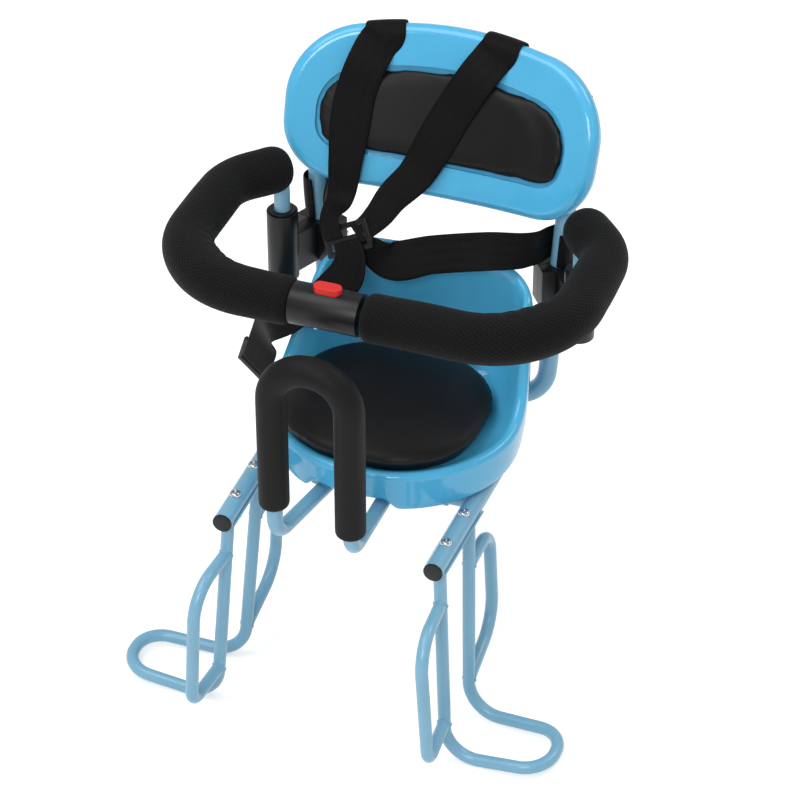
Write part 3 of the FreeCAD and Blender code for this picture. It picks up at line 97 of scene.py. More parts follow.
FLOOR_SIZE = 12.0
FLOOR_GLOW = 0.5
bpy.ops.mesh.primitive_plane_add(size=FLOOR_SIZE, location=(0, 0, cad_box[0].z))
floor = bpy.context.object
floor.name = "studio_floor"
floor_paper = bpy.data.materials.new("white_studio_paper")
floor_paper.use_nodes = True
floor_paper.node_tree.nodes.clear()
floor_ray = add_node(floor_paper, "ShaderNodeLightPath")
floor_seen = add_node(floor_paper, "ShaderNodeMath", {0: floor_ray.outputs["Is Camera Ray"],
                                                      1: floor_ray.outputs["Is Glossy Ray"]}, operation="ADD")
floor_lift = add_node(floor_paper, "ShaderNodeMath", {0: floor_seen.outputs[0], 1: FLOOR_GLOW},
                      operation="MULTIPLY")
floor_glow = add_node(floor_paper, "ShaderNodeEmission", {"Color": linear("#FFFFFF"),
                                                          "Strength": floor_lift.outputs[0]})
floor_matte = add_node(floor_paper, "ShaderNodeBsdfDiffuse", {"Color": linear("#E6E6E6")})
floor_sum = add_node(floor_paper, "ShaderNodeAddShader", {0: floor_glow.outputs[0],
                                                          1: floor_matte.outputs[0]})
add_node(floor_paper, "ShaderNodeOutputMaterial", {"Surface": floor_sum.outputs[0]})
floor.data.materials.append(floor_paper)

# Name, place, width and power; all point at the seat
PANELS = [("key_panel", (-0.7, -0.6, 2.2), 1.4, 20.0), ("rear_panel", (1.3, 1.0, 1.9), 1.0, 12.0),
          ("front_panel", (0.2, -1.9, 1.5), 0.8, 18.0)]
PANEL_TARGET = Vector((0, 0, 0.1))
for panel_name, panel_place, panel_size, panel_power in PANELS:
    panel = bpy.data.lights.new(panel_name, "AREA")
    panel.size = panel_size
    panel.energy = panel_power
    lamp = bpy.data.objects.new(panel_name, panel)
    lamp.location = panel_place
    lamp.rotation_mode = "QUATERNION"
    lamp.rotation_quaternion = (PANEL_TARGET - Vector(panel_place)).to_track_quat("-Z", "Y")
    scene.collection.objects.link(lamp)

CAMERA_TARGET = Vector((0.0, 0.0349, 0.0458))
CAMERA_AZIMUTH = math.radians(20.25)
CAMERA_ELEVATION = math.radians(36.15)
CAMERA_DISTANCE = 2.9394
camera_data = bpy.data.cameras.new("photo_camera")
camera_data.lens = 135.0
camera_data.sensor_width = 36.0
camera = bpy.data.objects.new("photo_camera", camera_data)
scene.collection.objects.link(camera)
scene.camera = camera
camera_back = Vector((math.sin(CAMERA_AZIMUTH) * math.cos(CAMERA_ELEVATION),
                      -math.cos(CAMERA_AZIMUTH) * math.cos(CAMERA_ELEVATION), math.sin(CAMERA_ELEVATION)))
camera.location = CAMERA_TARGET + camera_back * CAMERA_DISTANCE
camera.rotation_mode = "QUATERNION"
camera.rotation_quaternion = (-camera_back).to_track_quat("-Z", "Y")


# Welded frame: rails, hoop, cross tubes, rack plate, handle and legs are steel tube and bar, welded and then
# powder coated light blue. The baked coat is satin to glossy, with a fine orange-peel ripple.
def new_material(name):
    material = bpy.data.materials.new(name)
    material.use_nodes = True
    material.node_tree.nodes.clear()
    return material


def finish_material(material, shader_inputs):
    """Closes a material with its surface shader."""
    shader = add_node(material, "ShaderNodeBsdfPrincipled", shader_inputs)
    add_node(material, "ShaderNodeOutputMaterial", {"Surface": shader.outputs[0]})


def per_metre(millimetres):
    """A texture scale whose cells are a real size."""
    return 1000.0 / millimetres


def cloud(material, millimetres, detail):
    """Noise of a real size, from 0 to 1."""
    place = add_node(material, "ShaderNodeTexCoord")
    made = add_node(material, "ShaderNodeTexNoise", {"Vector": place.outputs["Object"],
                                                     "Scale": per_metre(millimetres), "Detail": detail})
    return made.outputs["Fac"]


def two_tone(material, factor, low, high):
    """A colour between two hex values."""
    ramp = add_node(material, "ShaderNodeValToRGB", {"Fac": factor})
    ramp.color_ramp.elements[0].color = linear(low)
    ramp.color_ramp.elements[1].color = linear(high)
    return ramp.outputs["Color"]


def between(material, factor, low, high):
    """A number between two others."""
    spread = add_node(material, "ShaderNodeMapRange", {"Value": factor, "To Min": low, "To Max": high})
    return spread.outputs[0]


def relief(material, height, strength, depth):
    """A bumped normal; depth is in metres."""
    bump = add_node(material, "ShaderNodeBump", {"Height": height, "Strength": strength, "Distance": depth})
    return bump.outputs["Normal"]


powder_coat = new_material("powder_coated_steel")
coat_peel = cloud(powder_coat, 2.2, 2.0)
coat_drift = cloud(powder_coat, 60, 3.0)
finish_material(powder_coat, {"Base Color": two_tone(powder_coat, coat_drift, "#72AAC7", "#82B6D0"),
                              "Roughness": between(powder_coat, coat_peel, 0.26, 0.38),
                              "Normal": relief(powder_coat, coat_peel, 0.08, 0.0004),
                              "Coat Weight": 0.25, "Coat Roughness": 0.12})


def coat(mesh, material):
    """Makes a material the only one on a mesh."""
    mesh.materials.clear()
    mesh.materials.append(material)


def dress(node_names, material):
    """Gives CAD nodes a finish."""
    for node_name in node_names:
        coat(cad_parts[node_name].data, material)


BOTH = ("left", "right")
dress(["upright_hoop", "front_cross_tube", "rear_cross_tube", "rack_plate", "handle_tube"], powder_coat)
for side in BOTH:
    dress([f"{side}_rail", f"{side}_saddle_channel", f"{side}_leg_loop", f"{side}_front_guard",
           f"{side}_rear_guard", f"{side}_arm_tube"], powder_coat)

# Weld beads: each guard's end, each leg's top and each cross tube is run round with a short MIG bead, and
# the powder coat covers it.
WELD_RADIUS = 0.0013
WELD_WAVE = 0.0003
WELD_WAVES = 9
ROD_RADIUS = 0.00625
RAIL_RADIUS = 0.0095
CROSS_RADIUS = 0.008
CHANNEL_RADIUS = 0.0118


def weld_bead(foot, tube_axis, branch_axis, tube_radius, branch_radius):
    """A bead that follows the seam where a branch tube meets the side of another."""
    bpy.ops.object.select_all(action="DESELECT")
    bpy.ops.mesh.primitive_torus_add(major_radius=branch_radius, minor_radius=WELD_RADIUS, major_segments=40,
                                     minor_segments=8)
    bead = bpy.context.object
    foot = Vector(foot)
    axis = Vector(tube_axis).normalized()
    branch = Vector(branch_axis).normalized()
    side = branch.orthogonal().normalized()
    other = branch.cross(side)
    for vert in bead.data.vertices:
        angle = math.atan2(vert.co.y, vert.co.x)
        round_branch = side * math.cos(angle) + other * math.sin(angle)
        start = round_branch * branch_radius
        across = start - axis * start.dot(axis)
        along = branch - axis * branch.dot(axis)
        b, c = across.dot(along), across.length_squared - tube_radius ** 2
        reach = (math.sqrt(max(b * b - along.length_squared * c, 0.0)) - b) / along.length_squared
        swell = 1.0 + WELD_WAVE / WELD_RADIUS * math.sin(angle * WELD_WAVES)
        out = (math.hypot(vert.co.x, vert.co.y) - branch_radius) * swell
        vert.co = foot + start + branch * (reach + vert.co.z * swell) + round_branch * out
    return bead


def join(pieces, name):
    """Joins pieces into the first one."""
    bpy.ops.object.select_all(action="DESELECT")
    for piece in pieces:
        piece.select_set(True)
    bpy.context.view_layer.objects.active = pieces[0]
    bpy.ops.object.join()
    pieces[0].name = name
    return pieces[0]


def active_only(piece):
    """Selects one piece alone and makes it active."""
    bpy.ops.object.select_all(action="DESELECT")
    piece.select_set(True)
    bpy.context.view_layer.objects.active = piece


def smooth_shaded(piece, angle=40):
    """Shades a piece smooth, but for edges sharper than an angle."""
    active_only(piece)
    bpy.ops.object.shade_smooth_by_angle(angle=math.radians(angle))
    return piece


beads = []
for sign in (-1, 1):
    front_leg = (Vector((sign * 0.1063, -0.147, 0.011)), Vector((sign * 0.120, -0.163, -0.214)))
    rear_leg = (Vector((sign * 0.1079, -0.068, 0.011)), Vector((sign * 0.120, -0.094, -0.214)))
    guard_ends = [(front_leg, (sign * 0.1092, -0.1504, -0.037), (sign * 0.1132, -0.219, -0.037)),
                  (front_leg, (sign * 0.1176, -0.1602, -0.175), (sign * 0.1216, -0.219, -0.175)),
                  (rear_leg, (sign * 0.1110, -0.0747, -0.047), (sign * 0.1110, -0.015, -0.047)),
                  (rear_leg, (sign * 0.1181, -0.0898, -0.178), (sign * 0.1170, -0.015, -0.158))]
    for leg, foot, toward in guard_ends:
        beads.append(weld_bead(foot, leg[1] - leg[0], Vector(toward) - Vector(foot), ROD_RADIUS, ROD_RADIUS))
    for leg in (front_leg, rear_leg):
        beads.append(weld_bead(leg[0], (0, 1, 0), leg[1] - leg[0], CHANNEL_RADIUS, ROD_RADIUS))
    for cross_y in (-0.05, 0.05):
        cross_x = sign * (0.106 + 0.006 * (cross_y + 0.163) / 0.308)
        beads.append(weld_bead((cross_x, cross_y, 0.011), (sign * 0.0195, 1, 0), (-sign, 0, 0), RAIL_RADIUS,
                               CROSS_RADIUS))
welds = smooth_shaded(join(beads, "weld_beads"), 80)
welds.data.materials.append(powder_coat)
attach(welds, "frame")

# Tube caps: injection-moulded nylon plugs pushed into the open ends of the rails and uprights, each with a
# thin flange whose edge is rounded.
CAP_EDGE = 0.001
black_moulding = new_material("black_moulded_nylon")
# A spark-eroded mould face, about 0.6 mm; drawn at 1.2 mm so that it shows
moulding_grain = cloud(black_moulding, 1.2, 3.0)
finish_material(black_moulding, {"Base Color": two_tone(black_moulding, moulding_grain, "#0A0A0B", "#131315"),
                                 "Roughness": between(black_moulding, moulding_grain, 0.30, 0.46),
                                 "Normal": relief(black_moulding, moulding_grain, 0.12, 0.0003), "IOR": 1.53,
                                 "Specular IOR Level": 0.32})


def modified(piece, kind, **settings):
    """Applies one modifier to a piece."""
    active_only(piece)
    modifier = piece.modifiers.new(kind.lower(), kind)
    for name, value in settings.items():
        setattr(modifier, name, value)
    bpy.ops.object.modifier_apply(modifier=modifier.name)


def moulding(node_name, edge, material, body):
    """A copy of a CAD node's shape with its sharp edges rounded, which stands for that node."""
    piece = bpy.data.objects.new(f"{node_name}_moulding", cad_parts[node_name].data.copy())
    scene.collection.objects.link(piece)
    active_only(piece)
    bpy.ops.object.mode_set(mode="EDIT")
    bpy.ops.mesh.select_all(action="SELECT")
    bpy.ops.mesh.remove_doubles(threshold=0.00001)
    bpy.ops.mesh.dissolve_limited(angle_limit=math.radians(2))
    bpy.ops.object.mode_set(mode="OBJECT")
    modified(piece, "BEVEL", width=edge, segments=3, limit_method="ANGLE", angle_limit=math.radians(35))
    smooth_shaded(piece)
    coat(piece.data, material)
    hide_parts(node_name)
    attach(piece, body)


for side in BOTH:
    for place in ("rail", "upright"):
        moulding(f"{side}_{place}_cap", CAP_EDGE, black_moulding, "frame")


# Handle grip: a thick-walled tube of closed-cell rubber foam pushed over the handle while warm. Its moulded
# skin is smooth and dull, and its cut ends are a little rounded.
def bent_line(corners):
    """The length of a line with rounded corners, and a function from a length to a place and a direction."""
    parts = []
    start = Vector(corners[0][0])
    for (corner, radius), (after_corner, _) in zip(corners[1:-1], corners[2:]):
        corner = Vector(corner)
        heading = (corner - start).normalized()
        leaving = (Vector(after_corner) - corner).normalized()
        turn = heading.angle(leaving)
        enter = corner - heading * radius * math.tan(turn / 2)
        parts.append(((enter - start).length, start, heading, None, 0.0))
        axis = heading.cross(leaving).normalized()
        parts.append((radius * turn, enter, heading, axis, radius))
        start = corner + leaving * radius * math.tan(turn / 2)
    last = Vector(corners[-1][0])
    parts.append(((last - start).length, start, (last - start).normalized(), None, 0.0))

    def at(length):
        for part_length, origin, heading, axis, radius in parts:
            if length <= part_length or origin == parts[-1][1]:
                break
            length -= part_length
        if axis is None:
            return origin + heading * length, heading
        to_centre = axis.cross(heading) * radius
        turned = Matrix.Rotation(length / radius, 3, axis)
        return origin + to_centre - turned @ to_centre, turned @ heading

    return sum(part[0] for part in parts), at


def laid_grid(name, across, along, place):
    """A grid with a UV map, whose points are set from their shares across and along."""
    bpy.ops.object.select_all(action="DESELECT")
    bpy.ops.mesh.primitive_grid_add(x_subdivisions=across, y_subdivisions=along, size=1)
    piece = bpy.context.object
    piece.name = name
    for vert in piece.data.vertices:
        vert.co = place(vert.co.x + 0.5, vert.co.y + 0.5)
    return piece


def closed_up(piece, capped=False):
    """Merges a rolled grid's seam, closes its ends if asked, and points its faces outwards."""
    bpy.ops.object.mode_set(mode="EDIT")
    bpy.ops.mesh.select_all(action="SELECT")
    bpy.ops.mesh.remove_doubles(threshold=0.00002)
    if capped:
        bpy.ops.mesh.fill_holes(sides=0)
    bpy.ops.mesh.normals_make_consistent(inside=False)
    bpy.ops.object.mode_set(mode="OBJECT")
    return piece


def subdivided(piece, levels):
    """Applies a subdivision surface and shades the piece smooth."""
    modified(piece, "SUBSURF", levels=levels, render_levels=levels)
    bpy.ops.object.shade_smooth()
    return piece


def foam_tube(name, corners, plane, rings, around, swell):
    """A tube along a bent line in one plane. Rings are lengths and radii; swell adds to a radius."""
    length, at = bent_line(corners)
    plane = Vector(plane)
    ring_list = rings(length)

    def place(u, v):
        along, radius = ring_list[round(v * (len(ring_list) - 1))]
        middle, heading = at(along)
        angle = 2 * math.pi * u
        out = plane.cross(heading) * math.cos(angle) + plane * math.sin(angle)
        return middle + out * (radius + swell(along, length, angle))

    return closed_up(laid_grid(name, around, len(ring_list) - 1, place))


GRIP_RADIUS = 0.0145
GRIP_BORE = 0.0078
GRIP_STEPS = 90
GRIP_FOLD = 0.0004
GRIP_FOLD_PITCH = 0.011


def grip_rings(length):
    """The grip's stations: a rounded end, evenly spaced rings, and the other end."""
    end = [(0.006, GRIP_BORE), (0.0, GRIP_BORE), (0.0, 0.0118), (0.0007, 0.0134), (0.0022, 0.0143)]
    runs = [(0.005 + (length - 0.010) * step / GRIP_STEPS, GRIP_RADIUS) for step in range(GRIP_STEPS + 1)]
    return end + runs + [(length - along, radius) for along, radius in reversed(end)]


def grip_swell(along, length, angle):
    """Foam gathers a little on the inside of the arch."""
    middle = math.exp(-((along / length - 0.5) / 0.16) ** 2)
    return GRIP_FOLD * middle * math.cos(angle) * math.cos(along * 2 * math.pi / GRIP_FOLD_PITCH)


grip = foam_tube("handle_grip_foam", [((-0.0375, -0.197, 0.077), 0), ((-0.0375, -0.197, 0.235), 0.0375),
                                      ((0.0375, -0.197, 0.235), 0.0375), ((0.0375, -0.197, 0.063), 0)],
                 (0, 1, 0), grip_rings, 48, grip_swell)
subdivided(grip, 1)
rubber_foam = new_material("black_rubber_foam")
# The foam's skin has pores of about 0.3 mm; drawn at 0.9 mm so that they show
foam_pores = cloud(rubber_foam, 0.9, 4.0)
finish_material(rubber_foam, {"Base Color": two_tone(rubber_foam, foam_pores, "#0D0D0E", "#161617"),
                              "Roughness": between(rubber_foam, foam_pores, 0.5, 0.66),
                              "Normal": relief(rubber_foam, foam_pores, 0.15, 0.0004), "IOR": 1.5,
                              "Specular IOR Level": 0.18})
grip.data.materials.append(rubber_foam)
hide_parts("handle_grip")
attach(grip, "frame")

# Machine screws and nuts: zinc-plated steel pan heads with a cross recess hold the legs to the rails, the
# seat to the cross tubes and the backrest to the uprights.
bright_zinc = new_material("bright_zinc_plated_steel")
zinc_cloud = cloud(bright_zinc, 1.5, 3.0)
finish_material(bright_zinc, {"Base Color": two_tone(bright_zinc, zinc_cloud, "#B9BCC2", "#DADCDF"),
                              "Roughness": between(bright_zinc, zinc_cloud, 0.16, 0.32), "Metallic": 1.0})


def cut_away(piece, cutter):
    """Cuts a tool's shape from a piece and removes the tool."""
    modified(piece, "BOOLEAN", object=cutter, operation="DIFFERENCE", solver="EXACT")
    bpy.data.objects.remove(cutter)


def pick_faces(piece, wanted):
    """Enters edit mode with only the wanted faces selected."""
    active_only(piece)
    bpy.context.tool_settings.mesh_select_mode = (False, False, True)
    bpy.ops.object.mode_set(mode="EDIT")
    bpy.ops.mesh.select_all(action="DESELECT")
    bpy.ops.object.mode_set(mode="OBJECT")
    for face in piece.data.polygons:
        face.select = wanted(face)
    bpy.ops.object.mode_set(mode="EDIT")


def pan_head_screw(head_radius, head_height, shank_radius, shank_length):
    """A cross-recessed screw that stands head up, with the head's underside at the origin."""
    bpy.ops.object.select_all(action="DESELECT")
    bpy.ops.mesh.primitive_cylinder_add(vertices=32, radius=head_radius, depth=head_height,
                                        location=(0, 0, head_height / 2))
    bpy.ops.object.transform_apply(location=True)
    screw = bpy.context.object
    pick_faces(screw, lambda face: face.normal.z > 0.9)
    bpy.ops.mesh.bevel(offset=head_height * 0.75, segments=6, affect="EDGES")
    bpy.ops.object.mode_set(mode="OBJECT")
    pick_faces(screw, lambda face: face.normal.z < -0.9)
    bpy.ops.mesh.inset(thickness=head_radius - shank_radius)
    bpy.ops.mesh.extrude_region_move(TRANSFORM_OT_translate={"value": (0, 0, -shank_length)})
    bpy.ops.object.mode_set(mode="OBJECT")
    for turn in (0, 90):
        bpy.ops.mesh.primitive_cube_add(size=1, location=(0, 0, head_height))
        slot = bpy.context.object
        slot.scale = (head_radius * 1.1, head_radius * 0.24, head_height * 1.1)
        slot.rotation_euler.z = math.radians(turn + 25)
        bpy.ops.object.transform_apply(location=True, rotation=True, scale=True)
        cut_away(screw, slot)
    return screw


def set_screws(name, node_name, screw, places, body):
    """Copies of one screw, each set at a seat point along its inward direction, as one piece."""
    copies = []
    for seat, inward in places:
        copy = bpy.data.objects.new(name, screw.data.copy())
        scene.collection.objects.link(copy)
        turn = (-Vector(inward)).to_track_quat("Z", "Y").to_matrix().to_4x4()
        copy.data.transform(Matrix.Translation(seat) @ turn)
        copies.append(copy)
    bpy.data.objects.remove(screw)
    piece = smooth_shaded(join(copies, name), 35)
    coat(piece.data, bright_zinc)
    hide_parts(node_name)
    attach(piece, body)


DOWN, UP = (0, 0, -1), (0, 0, 1)
BOSS_X = 0.078
BOSS_Y = 0.05
# Head radius and height, shank radius and length
LEG_SCREW = (0.0055, 0.0035, 0.003, 0.0263)
SEAT_SCREW = (0.005, 0.003, 0.0025, 0.039)
BACK_SCREW = (0.005, 0.003, 0.0025, 0.031)
leg_places = [((sign * x, y, 0.0205), DOWN) for sign in (-1, 1)
              for x, y in ((0.1066, -0.13), (0.1076, -0.082))]
set_screws("leg_screw_set", "leg_screws", pan_head_screw(*LEG_SCREW), leg_places, "frame")
seat_places = [((sign * BOSS_X, y, 0.003), UP) for sign in (-1, 1) for y in (-BOSS_Y, BOSS_Y)]
set_screws("seat_screw_set", "seat_screws", pan_head_screw(*SEAT_SCREW), seat_places, "frame")
back_places = [((sign * 0.128, y, z), (-sign * 0.305, -0.886, 0.351)) for sign in (-1, 1)
               for y, z in ((0.1689, 0.2454), (0.1929, 0.3058))]
set_screws("back_screw_set", "backrest_screws", pan_head_screw(*BACK_SCREW), back_places, "frame")
dress(["leg_nuts", "buckle_screws", "latch_tongue", "latch_plate", "latch_spring"], bright_zinc)

# Seat shell: one injection moulding in glossy light blue polypropylene, a bucket with a rolled lip, a raised
# back and a skirt that is notched at the front. Screws enter its four bosses from below.
SEAT_FLOOR = 0.058
SEAT_CEILING = 0.0535
SKIRT_Z = 0.0246
RIM_Z = 0.069
SEAT_TOP = 0.180
SKIRT_DRAFT = 0.005
SEAT_HALF = 0.126
SEAT_REAR_HALF = 0.102
SEAT_FRONT = -0.116
SEAT_REAR = 0.118
SEAT_WIDEST_Y = 0.025
SEAT_SHIFT = 0.008
SEAT_SIDES = 160
NOTCH_Z = 0.037
NOTCH_HALF = 0.051
NOTCH_EASE = 0.013
NOTCH_REACH = -0.08
BOSS_RADIUS = 0.008
BOSS_HEIGHT = 0.036
BOSS_FOOT = 0.0195

blue_plastic = new_material("moulded_polypropylene")
plastic_drift = cloud(blue_plastic, 45, 2.0)
# A polished mould leaves a ripple of about 6 mm and rubbed patches in the gloss
plastic_ripple = cloud(blue_plastic, 6, 1.0)
finish_material(blue_plastic, {"Base Color": two_tone(blue_plastic, plastic_drift, "#48AEDB", "#58B9E4"),
                               "Roughness": between(blue_plastic, plastic_drift, 0.09, 0.17),
                               "Normal": relief(blue_plastic, plastic_ripple, 0.04, 0.001), "IOR": 1.5,
                               "Subsurface Weight": 0.05, "Subsurface Scale": 0.003})


def mix(low, high, share):
    return low + (high - low) * share


def seat_plan(inset):
    """The seat's outline seen from above, from the front's middle round to it again."""
    half, rear_half = SEAT_HALF - inset, SEAT_REAR_HALF - inset
    front, rear = SEAT_FRONT + inset, SEAT_REAR - inset
    right = [((half, front, 0), 0.122 - inset), ((half, SEAT_WIDEST_Y, 0), 0.120 - inset),
             ((rear_half, rear, 0), 0.045 - inset)]
    left = [((-x, y, z), radius) for (x, y, z), radius in reversed(right)]
    length, at = bent_line([((0, front, 0), 0)] + right + left + [((0, front, 0), 0)])
    return lambda share: at(share * length)[0] + Vector((SEAT_SHIFT, 0, 0))


def rim_heights():
    """The lip's height round the seat, taken from the CAD shell and evened out."""
    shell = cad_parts["seat_shell"]
    plan = seat_plan(0.008)
    heights = []
    for side_at in range(SEAT_SIDES):
        found, place, _, _ = shell.ray_cast(plan(side_at / SEAT_SIDES) + Vector((0, 0, 0.4)), (0, 0, -1))
        heights.append(max(place.z, RIM_Z) if found else RIM_Z)
    for _ in range(3):
        heights = [(heights[at - 1] + 2 * heights[at] + heights[(at + 1) % SEAT_SIDES]) / 4
                   for at in range(SEAT_SIDES)]
    return heights


def seat_section(lip, notch):
    """One cut through the shell's wall: insets and heights from the ceiling, over the lip, to the floor."""
    skirt = mix(SKIRT_Z, NOTCH_Z, notch)
    taper = SKIRT_DRAFT * (RIM_Z - skirt) / (RIM_Z - SKIRT_Z)
    raised = min(max((lip - RIM_Z) / (SEAT_TOP - RIM_Z), 0.0), 1.0)
    inside = [(0.020, SEAT_CEILING), (0.0145, SEAT_CEILING - 0.0005), (0.0118, 0.049),
              (taper + 0.0043, skirt + 0.0008), (taper + 0.0024, skirt)]
    outside = [(taper + 0.0004, skirt + 0.0012), (SKIRT_DRAFT * 0.52, 0.046), (SKIRT_DRAFT * 0.2, 0.060),
               (0.0004, mix(0.0605, lip - 0.0065, 0.5)), (0.0003, lip - 0.0055)]
    rolled = [(0.0019, lip - 0.0017), (0.0058, lip), (0.0096, lip - 0.0012)]
    slope = []
    for share in (0.2, 0.4, 0.6, 0.8, 1.0):
        eased = mix(share * (2 - share), share, raised)
        inset = 0.0096 + mix(0.0276 * share, 0.0066 * share + 0.018 * share ** 5, raised)
        slope.append((inset, mix(lip - 0.0012, SEAT_FLOOR + 0.0004, eased)))
    return inside + outside + rolled + slope + [(0.046, SEAT_FLOOR)]


lip_heights = rim_heights()
seat_rings = len(seat_section(RIM_Z, 0.0))


def seat_place(share, ring_share):
    """A point of the shell, from its shares round the plan and along the wall's cut."""
    lip = lip_heights[round(share * SEAT_SIDES) % SEAT_SIDES]
    plain = seat_plan(0.0)(share)
    notch = min(max((NOTCH_HALF - abs(plain.x)) / NOTCH_EASE, 0.0), 1.0) if plain.y < NOTCH_REACH else 0.0
    inset, height = seat_section(lip, notch * notch * (3 - 2 * notch))[round(ring_share * (seat_rings - 1))]
    place = seat_plan(inset)(share)
    return (place.x, place.y, height)


seat = closed_up(laid_grid("seat_bucket", SEAT_SIDES, seat_rings - 1, seat_place), capped=True)
subdivided(seat, 2)
bosses = []
for boss_x in (-BOSS_X, BOSS_X):
    for boss_y in (-BOSS_Y, BOSS_Y):
        bpy.ops.object.select_all(action="DESELECT")
        bpy.ops.mesh.primitive_cylinder_add(vertices=40, radius=BOSS_RADIUS, depth=BOSS_HEIGHT,
                                            location=(boss_x, boss_y, BOSS_FOOT + BOSS_HEIGHT / 2))
        bpy.ops.object.transform_apply(location=True)
        boss = bpy.context.object
        pick_faces(boss, lambda face: face.normal.z < -0.9)
        bpy.ops.mesh.bevel(offset=0.0008, segments=2, affect="EDGES")
        bpy.ops.object.mode_set(mode="OBJECT")
        bosses.append(smooth_shaded(boss))
seat = join([seat] + bosses, "seat_bucket")
seat.data.materials.append(blue_plastic)
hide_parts("seat_shell")
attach(seat, "frame")

# Seat cushion: polyether foam under black leatherette, heat-shaped in one skin with no seams, stuck to the
# bucket's floor. Its crown and its drawn-in sides come from the foam's own pressure.
VOXEL = 0.005
SWELL_FRAMES = 20
CUSHION_STUCK = 0.006
CUSHION_SPREAD = 1.045


def puffed_copy(node_name, name, held, shrink, pressure, most):
    """A soft body swollen by cloth simulation from a CAD solid; held says which points stay put."""
    piece = bpy.data.objects.new(name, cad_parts[node_name].data.copy())
    scene.collection.objects.link(piece)
    active_only(piece)
    piece.data.materials.clear()
    bpy.ops.object.mode_set(mode="EDIT")
    bpy.ops.mesh.select_all(action="SELECT")
    bpy.ops.mesh.remove_doubles(threshold=0.00001)
    bpy.ops.object.mode_set(mode="OBJECT")
    modified(piece, "REMESH", mode="VOXEL", voxel_size=VOXEL)
    modified(piece, "SMOOTH", iterations=6)
    mesh = piece.data
    for vert in mesh.vertices:
        vert.co -= vert.normal * shrink
    pins = piece.vertex_groups.new(name="held")
    pins.add([vert.index for vert in mesh.vertices if held(vert.co)], 1.0, "REPLACE")
    before = [vert.co.copy() for vert in mesh.vertices]
    cloth = piece.modifiers.new("cloth", "CLOTH")
    cloth.settings.vertex_group_mass = "held"
    cloth.settings.use_pressure = True
    cloth.settings.uniform_pressure_force = pressure
    cloth.settings.tension_stiffness = 25
    cloth.settings.compression_stiffness = 25
    cloth.settings.bending_stiffness = 4
    cloth.settings.effector_weights.gravity = 0
    cloth.point_cache.frame_end = SWELL_FRAMES
    for at_frame in range(1, SWELL_FRAMES + 1):
        scene.frame_set(at_frame)
    active_only(piece)
    bpy.ops.object.modifier_apply(modifier="cloth")
    for vert, start in zip(piece.data.vertices, before):
        moved = vert.co - start
        if moved.length > most:
            vert.co = start + moved.normalized() * most
    scene.frame_set(1)
    piece.vertex_groups.clear()
    modified(piece, "SMOOTH", iterations=8)
    return subdivided(piece, 1)


leatherette = new_material("black_leatherette")
skin_place = add_node(leatherette, "ShaderNodeTexCoord")
# Embossed grain cells of about 1.4 mm
skin_cells = add_node(leatherette, "ShaderNodeTexVoronoi", {"Vector": skin_place.outputs["Object"],
                                                            "Scale": per_metre(1.4)},
                      feature="DISTANCE_TO_EDGE")
skin_patch = cloud(leatherette, 30, 3.0)
finish_material(leatherette, {"Base Color": two_tone(leatherette, skin_patch, "#0A0A0C", "#121214"),
                              "Roughness": between(leatherette, skin_patch, 0.36, 0.50),
                              "Normal": relief(leatherette, skin_cells.outputs["Distance"], 0.10, 0.0004),
                              "IOR": 1.5, "Specular IOR Level": 0.24})

cushion = puffed_copy("seat_cushion", "seat_cushion_skin", lambda point: point.z < SEAT_FLOOR + CUSHION_STUCK,
                      shrink=0.0005, pressure=4.0, most=0.006)
# The foam bulges most towards the photo's left
cushion_right = max(vert.co.x for vert in cushion.data.vertices)
for vert in cushion.data.vertices:
    vert.co.x = mix(cushion_right, vert.co.x, CUSHION_SPREAD)
cushion.data.materials.append(leatherette)
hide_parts("seat_cushion")
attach(cushion, "frame")

# Backrest: a curved blue moulding with a rolled edge, screwed to the uprights from behind, and a thinner pad
# of the cushion's leatherette pressed into its front.
dress(["backrest_shell"], blue_plastic)
BACK_FRONT_RADIUS = 0.390
BACK_LEAN = math.radians(21.6)
PAD_BACK = 0.012
pad_middle = (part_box("backrest_pad")[0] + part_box("backrest_pad")[1]) / 2


def behind_pad(point):
    """Whether a point of the pad is at its back, against the curved moulding."""
    offset = point - pad_middle
    depth = offset.y * math.cos(BACK_LEAN) - offset.z * math.sin(BACK_LEAN)
    return depth > PAD_BACK - point.x ** 2 / (2 * BACK_FRONT_RADIUS)


pad = puffed_copy("backrest_pad", "backrest_pad_skin", behind_pad, shrink=0.0015, pressure=3.0, most=0.0015)
pad.data.materials.append(leatherette)
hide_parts("backrest_pad")
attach(pad, "frame")

# Guard-bar sockets: glass-filled nylon barrels clamped round the uprights by a cap and two bolts, with a bush
# in which the arm's pin turns.
BARREL_EDGE = 0.0018
CLAMP_EDGE = 0.0012
for side in BOTH:
    moulding(f"{side}_barrel", BARREL_EDGE, black_moulding, "frame")
    moulding(f"{side}_clamp_cap", CLAMP_EDGE, black_moulding, "frame")
    dress([f"{side}_pin_bush"], black_moulding)
dress(["clamp_bolts"], bright_zinc)

# Guard-arm sleeves: polyurethane foam tubes in knitted black spacer mesh, pulled over the arms. Their rear
# ends are drawn in and closed.
SLEEVE_RADIUS = 0.023
SLEEVE_BORE = 0.0083
MESH_PITCH = 0.0045
BEND_MIDDLE = 0.215
FOLD_PITCH = 0.019
FOLD_REACH = 0.05
PLAIN_END = 0.010
ARM_Z = 0.247
PIN_Y = 0.095
PAST_PIN = 0.010
ELBOW_Y = 0.055
GUARD_Y = -0.115


